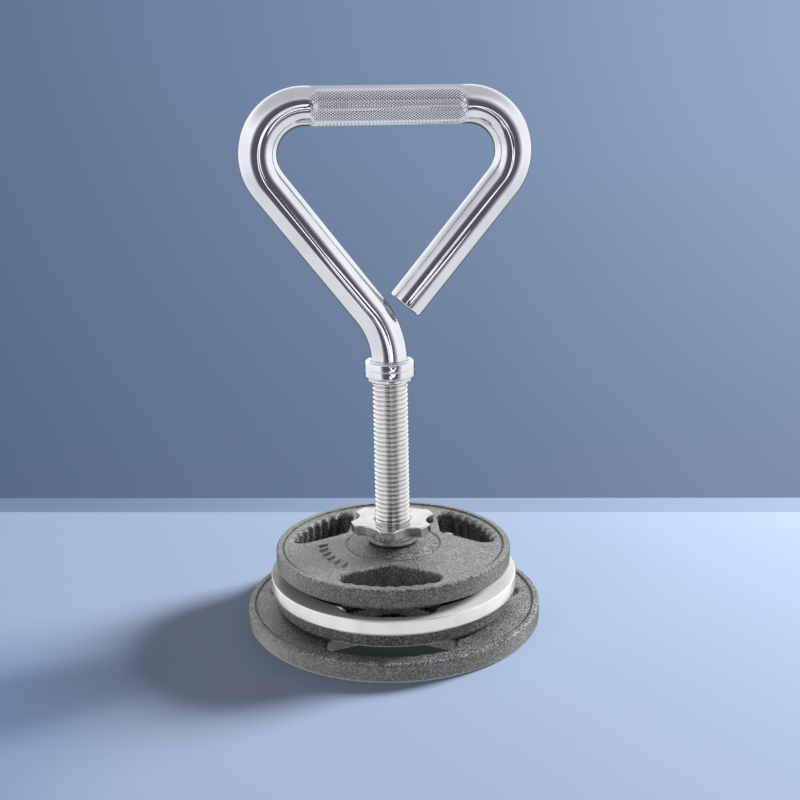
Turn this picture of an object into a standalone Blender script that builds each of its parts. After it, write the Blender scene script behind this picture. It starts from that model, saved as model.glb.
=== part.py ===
"""Kettlebell handle: a bent bar on a threaded stem, with a star nut and four weight plates.

Metres, +Z up. The stem stands on the origin, the handle lies in the XZ plane and its free
end is on the +X side. The rim of the lowest plate rests on Z = 0.
"""

import math

import bmesh
import bpy
from mathutils import Matrix, Vector

# Clearances
GAP = 0.0003
PLATE_BORE_PLAY = 0.0015
THREAD_PLAY = 0.00045
SCREW_PLAY = 0.0004

# Handle bar
BAR_DIAMETER = 0.025
GRIP_HEIGHT = 0.1824
GRIP_STRAIGHT = 0.1084
CORNER_RADIUS = 0.031
STEM_BEND_RADIUS = 0.0599
LEFT_LEG_ANGLE = math.radians(37.5)
RIGHT_LEG_ANGLE = math.radians(40.5)
RIGHT_LEG_LENGTH = 0.1056
FREE_END_CHAMFER = 0.0012
BEND_START_RISE = 0.0030

# Collar that joins the bar to the stem
COLLAR_RADIUS = 0.0173
COLLAR_FOOT_RADIUS = 0.0156
COLLAR_FOOT_HEIGHT = 0.0024
COLLAR_WALL_HEIGHT = 0.0090
COLLAR_DOME_HEIGHT = 0.0050
COLLAR_JOINT_HEIGHT = 0.0035

# Threaded stem
THREAD_LENGTH = 0.1713
THREAD_PITCH = 0.00325
THREAD_DEPTH = 0.0013
STEM_END_CHAMFER = 0.0014

# Star nut and its rubber ring
NUT_LOBES = 6
NUT_RADIUS = 0.030
NUT_SCALLOP_RADIUS = 0.0242
NUT_LOBE_WIDTH = 0.0108
NUT_STAR_THICKNESS = 0.0075
NUT_HUB_RADIUS = 0.0179
NUT_HUB_HEIGHT = 0.0082
NUT_EDGE = 0.0007
NUT_COUNTERSINK = 0.0012
NUT_AZIMUTH = math.radians(-109.8)
SEAL_OUTER_RADIUS = 0.0174
SEAL_WIDTH = 0.0032
SEAL_THICKNESS = 0.0014
SEAL_EDGE = 0.0003

# Weight plates: what all of them share
PLATE_EDGE = 0.0016
PLATE_DRAFT = 0.0012
LIP_WIDTH = 0.0042
LIP_HEIGHT = 0.0010
PLATE_AZIMUTH = math.radians(-103.5)
HAND_HOLES = 3
HAND_HOLE_SLOPE = math.radians(26.0)
HAND_HOLE_APEX_FILLET = 0.012
HAND_HOLE_RIBS = 7
HAND_HOLE_RIB_DEPTH = 0.0016

# Base plate
BASE_RADIUS = 0.1048
BASE_RIM_HEIGHT = 0.0138
BASE_RIM_WIDTH = 0.0125
BASE_WEB_CLEARANCE = 0.0035
BASE_HUB_RADIUS = 0.041
BASE_HUB_RISE = 0.0008
BASE_HOLE_APEX = 0.049
BASE_HOLE_OUTER = 0.0900
BASE_HOLE_CORNER = 0.009

# Thin plate
THIN_RADIUS = 0.0846
THIN_HUB_HEIGHT = 0.0096
THIN_RIM_RAISE = 0.0003
THIN_RIM_WIDTH = 0.0095
THIN_WEB_RAISE = 0.0028

# Bright plate
BRIGHT_RADIUS = 0.0878
BRIGHT_RIM_HEIGHT = 0.0108
BRIGHT_RIM_WIDTH = 0.0125
BRIGHT_WEB_RAISE = 0.0030
BRIGHT_HUB_RISE = 0.0028
BRIGHT_HOLE_OUTER = 0.0780

# Top plate
TOP_RADIUS = 0.0835
TOP_RIM_HEIGHT = 0.0131
TOP_RIM_RAISE = 0.0033
TOP_RIM_WIDTH = 0.0095
TOP_WEB_RAISE = 0.0044
TOP_HUB_RISE = 0.0006

# What the three upper plates share
SMALL_HUB_RADIUS = 0.0322
SMALL_HOLE_APEX = 0.041
SMALL_HOLE_OUTER = 0.0725
SMALL_HOLE_CORNER = 0.007

# Fastening under the base plate
FOOT_CLEARANCE = 0.0012
END_WASHER_RADIUS = 0.015
END_WASHER_THICKNESS = 0.0020
END_SCREW_RADIUS = 0.0030
END_SCREW_HEAD_RADIUS = 0.0058
END_SCREW_LENGTH = 0.018
END_SCREW_TIP = 0.0008
END_SCREW_SOCKET_RADIUS = 0.0023
END_SCREW_SOCKET_DEPTH = 0.0016
FLANGE_RADIUS = 0.032
FLANGE_THICKNESS = 0.0049
FLANGE_EDGE = 0.0006
FLANGE_PIN_HOLES = 4
FLANGE_PIN_HOLE_RADIUS = 0.0025
FLANGE_PIN_CIRCLE = 0.0235
FLANGE_RECESS_PLAY = 0.0025
PAD_THICKNESS = 0.0010
PAD_WIDTH = 0.015

# How finely round shapes are divided
PLATE_STEPS = 48
BAR_SIDES = 16
THREAD_STEPS = 16
SMALL_STEPS = 32
BEND_STEP = math.radians(9.5)
FILLET_STEPS = 4

# Sizes that follow from the ones above
BAR_RADIUS = BAR_DIAMETER / 2
PLATE_BORE = BAR_RADIUS + PLATE_BORE_PLAY
END_WASHER_TOP = FOOT_CLEARANCE + END_WASHER_THICKNESS
STEM_END = END_WASHER_TOP + GAP
FLANGE_TOP = STEM_END + FLANGE_THICKNESS
PAD_BOTTOM = FLANGE_TOP + GAP
PAD_TOP = PAD_BOTTOM + PAD_THICKNESS
BASE_HUB_BOTTOM = PAD_TOP + GAP
BASE_HUB_TOP = BASE_RIM_HEIGHT + BASE_HUB_RISE
THIN_BOTTOM = BASE_HUB_TOP + GAP
THIN_TOP = THIN_BOTTOM + THIN_HUB_HEIGHT
BRIGHT_BOTTOM = THIN_TOP + GAP
BRIGHT_TOP = BRIGHT_BOTTOM + BRIGHT_RIM_HEIGHT
BRIGHT_HUB_TOP = BRIGHT_TOP + BRIGHT_HUB_RISE
TOP_HUB_BOTTOM = BRIGHT_HUB_TOP + GAP
TOP_RIM_BOTTOM = TOP_HUB_BOTTOM + TOP_RIM_RAISE
TOP_RIM_TOP = TOP_RIM_BOTTOM + TOP_RIM_HEIGHT
TOP_HUB_TOP = TOP_RIM_TOP + TOP_HUB_RISE
SEAL_BOTTOM = TOP_HUB_TOP + GAP
SEAL_TOP = SEAL_BOTTOM + SEAL_THICKNESS
NUT_BOTTOM = SEAL_TOP + GAP
NUT_STAR_BOTTOM = NUT_BOTTOM + NUT_HUB_HEIGHT
NUT_TOP = NUT_STAR_BOTTOM + NUT_STAR_THICKNESS
COLLAR_BOTTOM = STEM_END + THREAD_LENGTH
COLLAR_WALL_TOP = COLLAR_BOTTOM + COLLAR_WALL_HEIGHT
JOINT_Z = COLLAR_BOTTOM + COLLAR_JOINT_HEIGHT
BEND_START_Z = COLLAR_WALL_TOP + BEND_START_RISE
GRIP_Z = COLLAR_BOTTOM + GRIP_HEIGHT
THREAD_ROOT_RADIUS = BAR_RADIUS - THREAD_DEPTH


def clear_scene():
    """Remove every object of the scene."""
    for obj in list(bpy.data.objects):
        bpy.data.objects.remove(obj, do_unlink=True)


def new_collection(name):
    collection = bpy.data.collections.new(name)
    bpy.context.scene.collection.children.link(collection)
    return collection


def new_material(name, colour, metallic, roughness):
    material = bpy.data.materials.new(name)
    material.use_nodes = True
    shader = material.node_tree.nodes["Principled BSDF"]
    shader.inputs["Base Color"].default_value = (*colour, 1.0)
    shader.inputs["Metallic"].default_value = metallic
    shader.inputs["Roughness"].default_value = roughness
    material.diffuse_color = (*colour, 1.0)
    return material


def place(obj, collection, material=None):
    """Link the object to its collection and give it its material."""
    collection.objects.link(obj)
    if material is not None:
        obj.data.materials.clear()
        obj.data.materials.append(material)
    return obj


def place_cutter(obj, collection):
    obj.hide_render = True
    obj.display_type = "WIRE"
    return place(obj, collection)


def add_boolean(obj, operation, other):
    modifier = obj.modifiers.new(operation.lower(), "BOOLEAN")
    modifier.operation = operation
    modifier.object = other
    modifier.solver = "EXACT"


def smooth(mesh):
    mesh.shade_smooth()
    mesh.set_sharp_from_angle(angle=math.radians(32.0))


def turned(name, profile, steps, closed=False):
    """Turn a profile of (radius, height) points about Z. It runs down the outer side."""
    mesh = bpy.data.meshes.new(name)
    vertices = [(radius, 0.0, height) for radius, height in profile]
    edges = [(i, i + 1) for i in range(len(profile) - 1)]
    if closed:
        edges.append((len(profile) - 1, 0))
    mesh.from_pydata(vertices, edges, [])
    obj = bpy.data.objects.new(name, mesh)
    screw = obj.modifiers.new("turn", "SCREW")
    screw.steps = steps
    screw.render_steps = steps
    screw.use_merge_vertices = True
    screw.merge_threshold = 0.00001
    return obj


def mesh_from(obj, name):
    """Make a mesh object of an evaluated curve, weld its caps and remove the curve."""
    bpy.context.scene.collection.objects.link(obj)
    graph = bpy.context.evaluated_depsgraph_get()
    mesh = bpy.data.meshes.new_from_object(obj.evaluated_get(graph))
    body = bmesh.new()
    body.from_mesh(mesh)
    bmesh.ops.remove_doubles(body, verts=body.verts, dist=0.000001)
    bmesh.ops.recalc_face_normals(body, faces=body.faces)
    body.to_mesh(mesh)
    body.free()
    result = bpy.data.objects.new(name, mesh)
    result.matrix_world = obj.matrix_world
    bpy.data.objects.remove(obj, do_unlink=True)
    return result


def extruded(name, outlines, bottom, top, chamfer=0.0):
    """Extrude flat closed outlines of (x, y) points between two heights, as one mesh."""
    curve = bpy.data.curves.new(name, "CURVE")
    curve.dimensions = "2D"
    curve.fill_mode = "BOTH"
    curve.extrude = (top - bottom) / 2 - chamfer
    curve.bevel_depth = chamfer
    curve.bevel_resolution = 0
    curve.offset = -chamfer
    for outline in outlines:
        spline = curve.splines.new("POLY")
        spline.points.add(len(outline) - 1)
        for point, (x, y) in zip(spline.points, outline):
            point.co = (x, y, 0.0, 1.0)
        spline.use_cyclic_u = True
    obj = bpy.data.objects.new(name + "_curve", curve)
    obj.location.z = (top + bottom) / 2
    return mesh_from(obj, name)


def arc(centre, radius, start, end, steps):
    """Points of an arc in the plane, its two ends included."""
    angles = [start + (end - start) * i / steps for i in range(steps + 1)]
    return [(centre[0] + radius * math.cos(a), centre[1] + radius * math.sin(a)) for a in angles]


def turned_points(points, angle):
    """Flat points turned about the origin."""
    cosine = math.cos(angle)
    sine = math.sin(angle)
    return [(x * cosine - y * sine, x * sine + y * cosine) for x, y in points]


def thread_form(name, crest_radius, root_radius, bottom, top):
    """A closed screw-shaped body with sharp teeth that covers the height asked for.

    Each tooth of the profile rises by one pitch in one turn and so meets the next one. The
    teeth sit at whole pitches above Z = 0, so that every thread made here is in mesh.
    """
    first = math.floor(bottom / THREAD_PITCH) - 1
    last = math.ceil(top / THREAD_PITCH) + 1
    profile = [(0.0, first * THREAD_PITCH)]
    for tooth in range(first, last):
        profile.append((root_radius, tooth * THREAD_PITCH))
        profile.append((crest_radius, (tooth + 0.5) * THREAD_PITCH))
    profile.append((root_radius, last * THREAD_PITCH))
    profile.append((0.0, last * THREAD_PITCH))
    body = bmesh.new()
    verts = [body.verts.new((radius, 0.0, height)) for radius, height in profile]
    edges = [body.edges.new(pair) for pair in zip(verts, verts[1:])]
    bmesh.ops.spin(
        body,
        geom=verts + edges,
        cent=Vector(),
        axis=Vector((0.0, 0.0, 1.0)),
        dvec=Vector((0.0, 0.0, THREAD_PITCH / THREAD_STEPS)),
        angle=2 * math.pi,
        steps=THREAD_STEPS,
    )
    bmesh.ops.remove_doubles(body, verts=body.verts, dist=0.000002)
    open_edges = [edge for edge in body.edges if edge.is_boundary]
    bmesh.ops.holes_fill(body, edges=open_edges)
    bmesh.ops.recalc_face_normals(body, faces=body.faces)
    mesh = bpy.data.meshes.new(name)
    body.to_mesh(mesh)
    body.free()
    return bpy.data.objects.new(name, mesh)


def handle_path():
    """Centre line of the bar in the XZ plane, from the stem to the free end."""
    path = [(0.0, JOINT_Z + GAP / 2), (0.0, BEND_START_Z)]
    bend_steps = math.ceil(LEFT_LEG_ANGLE / BEND_STEP)
    path += arc((-STEM_BEND_RADIUS, BEND_START_Z), STEM_BEND_RADIUS, 0.0, LEFT_LEG_ANGLE, bend_steps)[1:]
    corner_z = GRIP_Z - CORNER_RADIUS
    outward = (math.cos(LEFT_LEG_ANGLE), math.sin(LEFT_LEG_ANGLE))
    leg_x, leg_z = path[-1]
    rise = corner_z - CORNER_RADIUS * outward[1] - leg_z
    run = rise * math.tan(LEFT_LEG_ANGLE)
    left_x = leg_x - run + CORNER_RADIUS * outward[0]
    sweep = math.pi / 2 + LEFT_LEG_ANGLE
    start = math.pi + LEFT_LEG_ANGLE
    path += arc((left_x, corner_z), CORNER_RADIUS, start, start - sweep, math.ceil(sweep / BEND_STEP))
    sweep = math.pi / 2 + RIGHT_LEG_ANGLE
    right_x = left_x + GRIP_STRAIGHT
    path += arc(
        (right_x, corner_z), CORNER_RADIUS, math.pi / 2, math.pi / 2 - sweep, math.ceil(sweep / BEND_STEP)
    )
    end_x, end_z = path[-1]
    for length in (RIGHT_LEG_LENGTH - FREE_END_CHAMFER, RIGHT_LEG_LENGTH):
        drop = length * math.cos(RIGHT_LEG_ANGLE)
        path.append((end_x - length * math.sin(RIGHT_LEG_ANGLE), end_z - drop))
    return path


def build_handle_bar(parts, materials):
    """The bent bar. Its last point is narrower, which chamfers the free end."""
    curve = bpy.data.curves.new("handle_bar", "CURVE")
    curve.dimensions = "3D"
    curve.bevel_depth = BAR_RADIUS
    curve.bevel_resolution = (BAR_SIDES - 4) // 2
    curve.use_fill_caps = True
    path = handle_path()
    spline = curve.splines.new("POLY")
    spline.points.add(len(path) - 1)
    for point, (x, z) in zip(spline.points, path):
        point.co = (x, 0.0, z, 1.0)
    spline.points[-1].radius = 1.0 - FREE_END_CHAMFER / BAR_RADIUS
    bar = mesh_from(bpy.data.objects.new("handle_bar_curve", curve), "handle_bar")
    smooth(bar.data)
    place(bar, parts, materials["chrome"])


def build_collar_ring(parts, materials):
    """The ring over the joint of bar and stem: a foot, a straight wall and a domed top."""
    bore = BAR_RADIUS + GAP
    dome = arc((0.0, 0.0), 1.0, 0.0, math.pi / 2, FILLET_STEPS)
    dome_width = COLLAR_RADIUS - bore
    profile = [
        (bore + dome_width * x, COLLAR_WALL_TOP + COLLAR_DOME_HEIGHT * z)
        for x, z in reversed(dome)
    ]
    profile += [
        (COLLAR_RADIUS, COLLAR_BOTTOM + COLLAR_FOOT_HEIGHT),
        (COLLAR_FOOT_RADIUS, COLLAR_BOTTOM),
        (bore, COLLAR_BOTTOM),
    ]
    place(turned("collar_ring", profile, SMALL_STEPS, closed=True), parts, materials["chrome"])


def build_threaded_stem(parts, cutters, materials):
    """The stem, threaded from its chamfered lower end up into the collar."""
    top = JOINT_Z - GAP / 2
    stem = thread_form("threaded_stem", BAR_RADIUS, THREAD_ROOT_RADIUS, STEM_END, top)
    outside = BAR_RADIUS + THREAD_DEPTH
    end_radius = BAR_RADIUS - STEM_END_CHAMFER
    blank = turned(
        "stem_blank",
        [
            (0.0, top),
            (outside, top),
            (outside, STEM_END + outside - end_radius),
            (end_radius, STEM_END),
            (0.0, STEM_END),
        ],
        THREAD_STEPS,
    )
    add_boolean(stem, "INTERSECT", place_cutter(blank, cutters))
    hole_radius = END_SCREW_RADIUS + SCREW_PLAY
    mouth = hole_radius + screw_cone_height() - (STEM_END - FOOT_CLEARANCE)
    hole = turned(
        "stem_end_hole",
        [
            (0.0, FOOT_CLEARANCE + END_SCREW_LENGTH + SCREW_PLAY),
            (hole_radius, FOOT_CLEARANCE + END_SCREW_LENGTH + SCREW_PLAY),
            (hole_radius, STEM_END + mouth - hole_radius),
            (mouth + GAP, STEM_END - GAP),
            (0.0, STEM_END - GAP),
        ],
        THREAD_STEPS,
    )
    add_boolean(stem, "DIFFERENCE", place_cutter(hole, cutters))
    place(stem, parts, materials["thread"])


def screw_cone_height():
    """Height of the right-angled cone under the head of the end screw."""
    return END_SCREW_HEAD_RADIUS - END_SCREW_RADIUS


def star_outline():
    """Lobes with round ends and hollow scallops between them."""
    half_lobe = math.asin(NUT_LOBE_WIDTH / 2 / NUT_RADIUS)
    half_gap = math.pi / NUT_LOBES - half_lobe
    corner = (NUT_RADIUS * math.sin(half_gap), NUT_RADIUS * math.cos(half_gap))
    depth = corner[1] - NUT_SCALLOP_RADIUS
    scallop = (corner[0] ** 2 + depth**2) / (2 * depth)
    centre = (0.0, NUT_SCALLOP_RADIUS + scallop)
    reach = math.asin(corner[0] / scallop)
    if depth > scallop:
        reach = math.pi - reach
    hollow = arc(centre, scallop, -math.pi / 2 + reach, -math.pi / 2 - reach, 2 * FILLET_STEPS)
    middle = [(-NUT_RADIUS * math.sin(math.pi / NUT_LOBES), NUT_RADIUS * math.cos(math.pi / NUT_LOBES))]
    outline = []
    for lobe in range(NUT_LOBES):
        turn = NUT_AZIMUTH - math.pi / 2 + (2 * lobe + 1) * math.pi / NUT_LOBES
        outline += turned_points(hollow + middle, turn)
    return outline


def build_star_nut(parts, cutters, materials):
    """The nut: a star with a round hub under it, threaded on the stem."""
    nut = extruded("star_nut", [star_outline()], NUT_STAR_BOTTOM, NUT_TOP, NUT_EDGE)
    hub = turned(
        "nut_hub",
        [
            (0.0, NUT_STAR_BOTTOM + NUT_STAR_THICKNESS / 2),
            (NUT_HUB_RADIUS, NUT_STAR_BOTTOM + NUT_STAR_THICKNESS / 2),
            (NUT_HUB_RADIUS, NUT_BOTTOM + NUT_EDGE),
            (NUT_HUB_RADIUS - NUT_EDGE, NUT_BOTTOM),
            (0.0, NUT_BOTTOM),
        ],
        SMALL_STEPS,
    )
    add_boolean(nut, "UNION", place_cutter(hub, cutters))
    add_boolean(nut, "DIFFERENCE", thread_cutter("nut_thread", NUT_BOTTOM, NUT_TOP, cutters))
    mouth = BAR_RADIUS + THREAD_PLAY + NUT_COUNTERSINK
    sink = turned(
        "nut_countersink",
        [
            (0.0, NUT_TOP + GAP),
            (mouth + GAP, NUT_TOP + GAP),
            (mouth - 2 * NUT_COUNTERSINK, NUT_TOP - 2 * NUT_COUNTERSINK),
            (0.0, NUT_TOP - 2 * NUT_COUNTERSINK),
        ],
        THREAD_STEPS,
    )
    add_boolean(nut, "DIFFERENCE", place_cutter(sink, cutters))
    place(nut, parts, materials["chrome"])


def thread_cutter(name, bottom, top, cutters):
    """The thread of the stem, larger by the play all over, for an internal thread."""
    crest = BAR_RADIUS + THREAD_PLAY
    return place_cutter(thread_form(name, crest, crest - THREAD_DEPTH, bottom, top), cutters)


def build_nut_seal_ring(parts, materials):
    inner = SEAL_OUTER_RADIUS - SEAL_WIDTH
    profile = [
        (SEAL_OUTER_RADIUS - SEAL_EDGE, SEAL_TOP),
        (SEAL_OUTER_RADIUS, SEAL_TOP - SEAL_EDGE),
        (SEAL_OUTER_RADIUS, SEAL_BOTTOM + SEAL_EDGE),
        (SEAL_OUTER_RADIUS - SEAL_EDGE, SEAL_BOTTOM),
        (inner, SEAL_BOTTOM),
        (inner, SEAL_TOP),
    ]
    place(turned("nut_seal_ring", profile, SMALL_STEPS, closed=True), parts, materials["rubber"])


def hand_hole_outline(apex, outer, corner_fillet):
    """A wide hand hole: two sloping sides from a round apex, and a ribbed arc outside.

    It points along +Y, so Y is the distance from the stem.
    """
    slope = HAND_HOLE_SLOPE
    bottom = arc(
        (0.0, apex + HAND_HOLE_APEX_FILLET),
        HAND_HOLE_APEX_FILLET,
        -math.pi / 2 - slope,
        -math.pi / 2 + slope,
        FILLET_STEPS,
    )
    side_x, side_y = bottom[-1]
    start = (side_x - corner_fillet * math.sin(slope), side_y + corner_fillet * math.cos(slope))
    along = start[0] * math.cos(slope) + start[1] * math.sin(slope)
    beyond = start[0] ** 2 + start[1] ** 2 - (outer - corner_fillet) ** 2
    reach = math.sqrt(along**2 - beyond) - along
    corner = (start[0] + reach * math.cos(slope), start[1] + reach * math.sin(slope))
    corner_angle = math.atan2(corner[1], corner[0])
    right = arc(corner, corner_fillet, slope - math.pi / 2, corner_angle, FILLET_STEPS)
    left = [(-x, y) for x, y in reversed(right)]
    ribs = []
    sweep = math.pi - 2 * corner_angle
    for half in range(1, 2 * HAND_HOLE_RIBS):
        angle = corner_angle + sweep * half / (2 * HAND_HOLE_RIBS)
        radius = outer - HAND_HOLE_RIB_DEPTH * (half % 2)
        ribs.append((radius * math.cos(angle), radius * math.sin(angle)))
    return bottom + right + ribs + left


def cut_hand_holes(plate, outline, bottom, top, cutters):
    """Cut the hand holes of a plate right through."""
    outlines = [
        turned_points(outline, PLATE_AZIMUTH - math.pi / 2 + 2 * math.pi * hole / HAND_HOLES)
        for hole in range(HAND_HOLES)
    ]
    holes = extruded(plate.name + "_holes", outlines, bottom - PLATE_DRAFT, top + PLATE_DRAFT)
    add_boolean(plate, "DIFFERENCE", place_cutter(holes, cutters))


def outer_wall(radius, bottom, top):
    """The rim of a plate, chamfered above and below, from its top down."""
    return [
        (radius - PLATE_EDGE, top),
        (radius, top - PLATE_EDGE),
        (radius, bottom + PLATE_EDGE),
        (radius - PLATE_EDGE, bottom),
    ]


def lipped_face(radius, rim_top, hub_radius, hub_top):
    """The top of a plate, from the hub out to the lip along the rim."""
    face = rim_top - LIP_HEIGHT
    return [
        (PLATE_BORE, hub_top),
        (hub_radius, hub_top),
        (hub_radius + PLATE_DRAFT, face),
        (radius - LIP_WIDTH - LIP_HEIGHT, face),
        (radius - LIP_WIDTH, rim_top),
    ]


def build_base_plate(parts, cutters, materials):
    """The widest plate. Its rim stands on the ground and its hub is hollow below."""
    recess = FLANGE_RADIUS + FLANGE_RECESS_PLAY
    rim_inside = BASE_RADIUS - BASE_RIM_WIDTH
    profile = outer_wall(BASE_RADIUS, 0.0, BASE_RIM_HEIGHT)
    profile += [
        (rim_inside, 0.0),
        (rim_inside - PLATE_DRAFT, BASE_WEB_CLEARANCE),
        (recess, BASE_WEB_CLEARANCE),
        (recess, BASE_HUB_BOTTOM),
        (PLATE_BORE, BASE_HUB_BOTTOM),
    ]
    profile += lipped_face(BASE_RADIUS, BASE_RIM_HEIGHT, BASE_HUB_RADIUS, BASE_HUB_TOP)
    plate = turned("base_plate", profile, PLATE_STEPS, closed=True)
    outline = hand_hole_outline(BASE_HOLE_APEX, BASE_HOLE_OUTER, BASE_HOLE_CORNER)
    cut_hand_holes(plate, outline, 0.0, BASE_RIM_HEIGHT, cutters)
    place(plate, parts, materials["hammertone"])


def build_thin_plate(parts, cutters, materials):
    """A thin plate with a flat top, on the hub of the base plate."""
    rim_bottom = THIN_BOTTOM + THIN_RIM_RAISE
    web_bottom = THIN_BOTTOM + THIN_WEB_RAISE
    rim_inside = THIN_RADIUS - THIN_RIM_WIDTH
    profile = outer_wall(THIN_RADIUS, rim_bottom, THIN_TOP)
    profile += [
        (rim_inside, rim_bottom),
        (rim_inside - PLATE_DRAFT, web_bottom),
        (SMALL_HUB_RADIUS + PLATE_DRAFT, web_bottom),
        (SMALL_HUB_RADIUS, THIN_BOTTOM),
        (PLATE_BORE, THIN_BOTTOM),
        (PLATE_BORE, THIN_TOP),
    ]
    plate = turned("thin_plate", profile, PLATE_STEPS, closed=True)
    outline = hand_hole_outline(SMALL_HOLE_APEX, SMALL_HOLE_OUTER, SMALL_HOLE_CORNER)
    cut_hand_holes(plate, outline, THIN_BOTTOM, THIN_TOP, cutters)
    place(plate, parts, materials["hammertone"])


def build_bright_plate(parts, cutters, materials):
    """The polished plate, with a hub that stands proud and carries the top plate."""
    web_bottom = BRIGHT_BOTTOM + BRIGHT_WEB_RAISE
    rim_inside = BRIGHT_RADIUS - BRIGHT_RIM_WIDTH
    profile = outer_wall(BRIGHT_RADIUS, BRIGHT_BOTTOM, BRIGHT_TOP)
    profile += [
        (rim_inside, BRIGHT_BOTTOM),
        (rim_inside - PLATE_DRAFT, web_bottom),
        (SMALL_HUB_RADIUS + PLATE_DRAFT, web_bottom),
        (SMALL_HUB_RADIUS, BRIGHT_BOTTOM),
        (PLATE_BORE, BRIGHT_BOTTOM),
        (PLATE_BORE, BRIGHT_HUB_TOP),
        (SMALL_HUB_RADIUS, BRIGHT_HUB_TOP),
        (SMALL_HUB_RADIUS + PLATE_DRAFT, BRIGHT_TOP),
    ]
    plate = turned("bright_plate", profile, PLATE_STEPS, closed=True)
    outline = hand_hole_outline(SMALL_HOLE_APEX, BRIGHT_HOLE_OUTER, SMALL_HOLE_CORNER)
    cut_hand_holes(plate, outline, BRIGHT_BOTTOM, BRIGHT_TOP, cutters)
    place(plate, parts, materials["polished"])


def build_top_plate(parts, cutters, materials):
    """The uppermost plate, with a lip along its rim and a low boss under the nut."""
    web_bottom = TOP_HUB_BOTTOM + TOP_WEB_RAISE
    rim_inside = TOP_RADIUS - TOP_RIM_WIDTH
    profile = outer_wall(TOP_RADIUS, TOP_RIM_BOTTOM, TOP_RIM_TOP)
    profile += [
        (rim_inside, TOP_RIM_BOTTOM),
        (rim_inside - PLATE_DRAFT, web_bottom),
        (SMALL_HUB_RADIUS + PLATE_DRAFT, web_bottom),
        (SMALL_HUB_RADIUS, TOP_HUB_BOTTOM),
        (PLATE_BORE, TOP_HUB_BOTTOM),
    ]
    profile += lipped_face(TOP_RADIUS, TOP_RIM_TOP, SMALL_HUB_RADIUS, TOP_HUB_TOP)
    plate = turned("top_plate", profile, PLATE_STEPS, closed=True)
    outline = hand_hole_outline(SMALL_HOLE_APEX, SMALL_HOLE_OUTER, SMALL_HOLE_CORNER)
    cut_hand_holes(plate, outline, TOP_RIM_BOTTOM, TOP_RIM_TOP, cutters)
    place(plate, parts, materials["hammertone"])


def build_base_flange(parts, cutters, materials):
    """The round threaded flange that carries the plates, with holes for a pin wrench."""
    flange = turned(
        "base_flange",
        [
            (0.0, FLANGE_TOP),
            (FLANGE_RADIUS - FLANGE_EDGE, FLANGE_TOP),
            (FLANGE_RADIUS, FLANGE_TOP - FLANGE_EDGE),
            (FLANGE_RADIUS, STEM_END + FLANGE_EDGE),
            (FLANGE_RADIUS - FLANGE_EDGE, STEM_END),
            (0.0, STEM_END),
        ],
        SMALL_STEPS,
    )
    outlines = []
    for hole in range(FLANGE_PIN_HOLES):
        angle = 2 * math.pi * (hole + 0.5) / FLANGE_PIN_HOLES
        centre = (FLANGE_PIN_CIRCLE * math.cos(angle), FLANGE_PIN_CIRCLE * math.sin(angle))
        outlines.append(arc(centre, FLANGE_PIN_HOLE_RADIUS, 0.0, 2 * math.pi, 2 * FILLET_STEPS)[:-1])
    pins = extruded("flange_pin_holes", outlines, STEM_END - GAP, FLANGE_TOP + GAP)
    add_boolean(flange, "DIFFERENCE", place_cutter(pins, cutters))
    add_boolean(flange, "DIFFERENCE", thread_cutter("flange_thread", STEM_END, FLANGE_TOP, cutters))
    place(flange, parts, materials["steel"])


def build_flange_pad(parts, materials):
    profile = [
        (FLANGE_RADIUS, PAD_TOP),
        (FLANGE_RADIUS, PAD_BOTTOM),
        (FLANGE_RADIUS - PAD_WIDTH, PAD_BOTTOM),
        (FLANGE_RADIUS - PAD_WIDTH, PAD_TOP),
    ]
    place(turned("flange_pad", profile, SMALL_STEPS, closed=True), parts, materials["rubber"])


def build_end_washer(parts, materials):
    """The washer that keeps the flange on the stem, dished for the head of its screw."""
    mouth = END_SCREW_HEAD_RADIUS + SCREW_PLAY
    profile = [
        (END_WASHER_RADIUS, END_WASHER_TOP),
        (END_WASHER_RADIUS, FOOT_CLEARANCE),
        (mouth, FOOT_CLEARANCE),
        (mouth - END_WASHER_THICKNESS, END_WASHER_TOP),
    ]
    place(turned("end_washer", profile, SMALL_STEPS, closed=True), parts, materials["steel"])


def build_end_screw(parts, cutters, materials):
    """A countersunk screw into the end of the stem, with a six-sided socket."""
    cone_top = FOOT_CLEARANCE + screw_cone_height()
    screw = turned(
        "end_screw",
        [
            (0.0, FOOT_CLEARANCE + END_SCREW_LENGTH),
            (END_SCREW_RADIUS - END_SCREW_TIP, FOOT_CLEARANCE + END_SCREW_LENGTH),
            (END_SCREW_RADIUS, FOOT_CLEARANCE + END_SCREW_LENGTH - END_SCREW_TIP),
            (END_SCREW_RADIUS, cone_top),
            (END_SCREW_HEAD_RADIUS, FOOT_CLEARANCE),
            (0.0, FOOT_CLEARANCE),
        ],
        THREAD_STEPS,
    )
    socket = arc((0.0, 0.0), END_SCREW_SOCKET_RADIUS, 0.0, 2 * math.pi, 6)[:-1]
    recess = extruded(
        "end_screw_socket", [socket], FOOT_CLEARANCE - GAP, FOOT_CLEARANCE + END_SCREW_SOCKET_DEPTH
    )
    add_boolean(screw, "DIFFERENCE", place_cutter(recess, cutters))
    place(screw, parts, materials["steel"])


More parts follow.
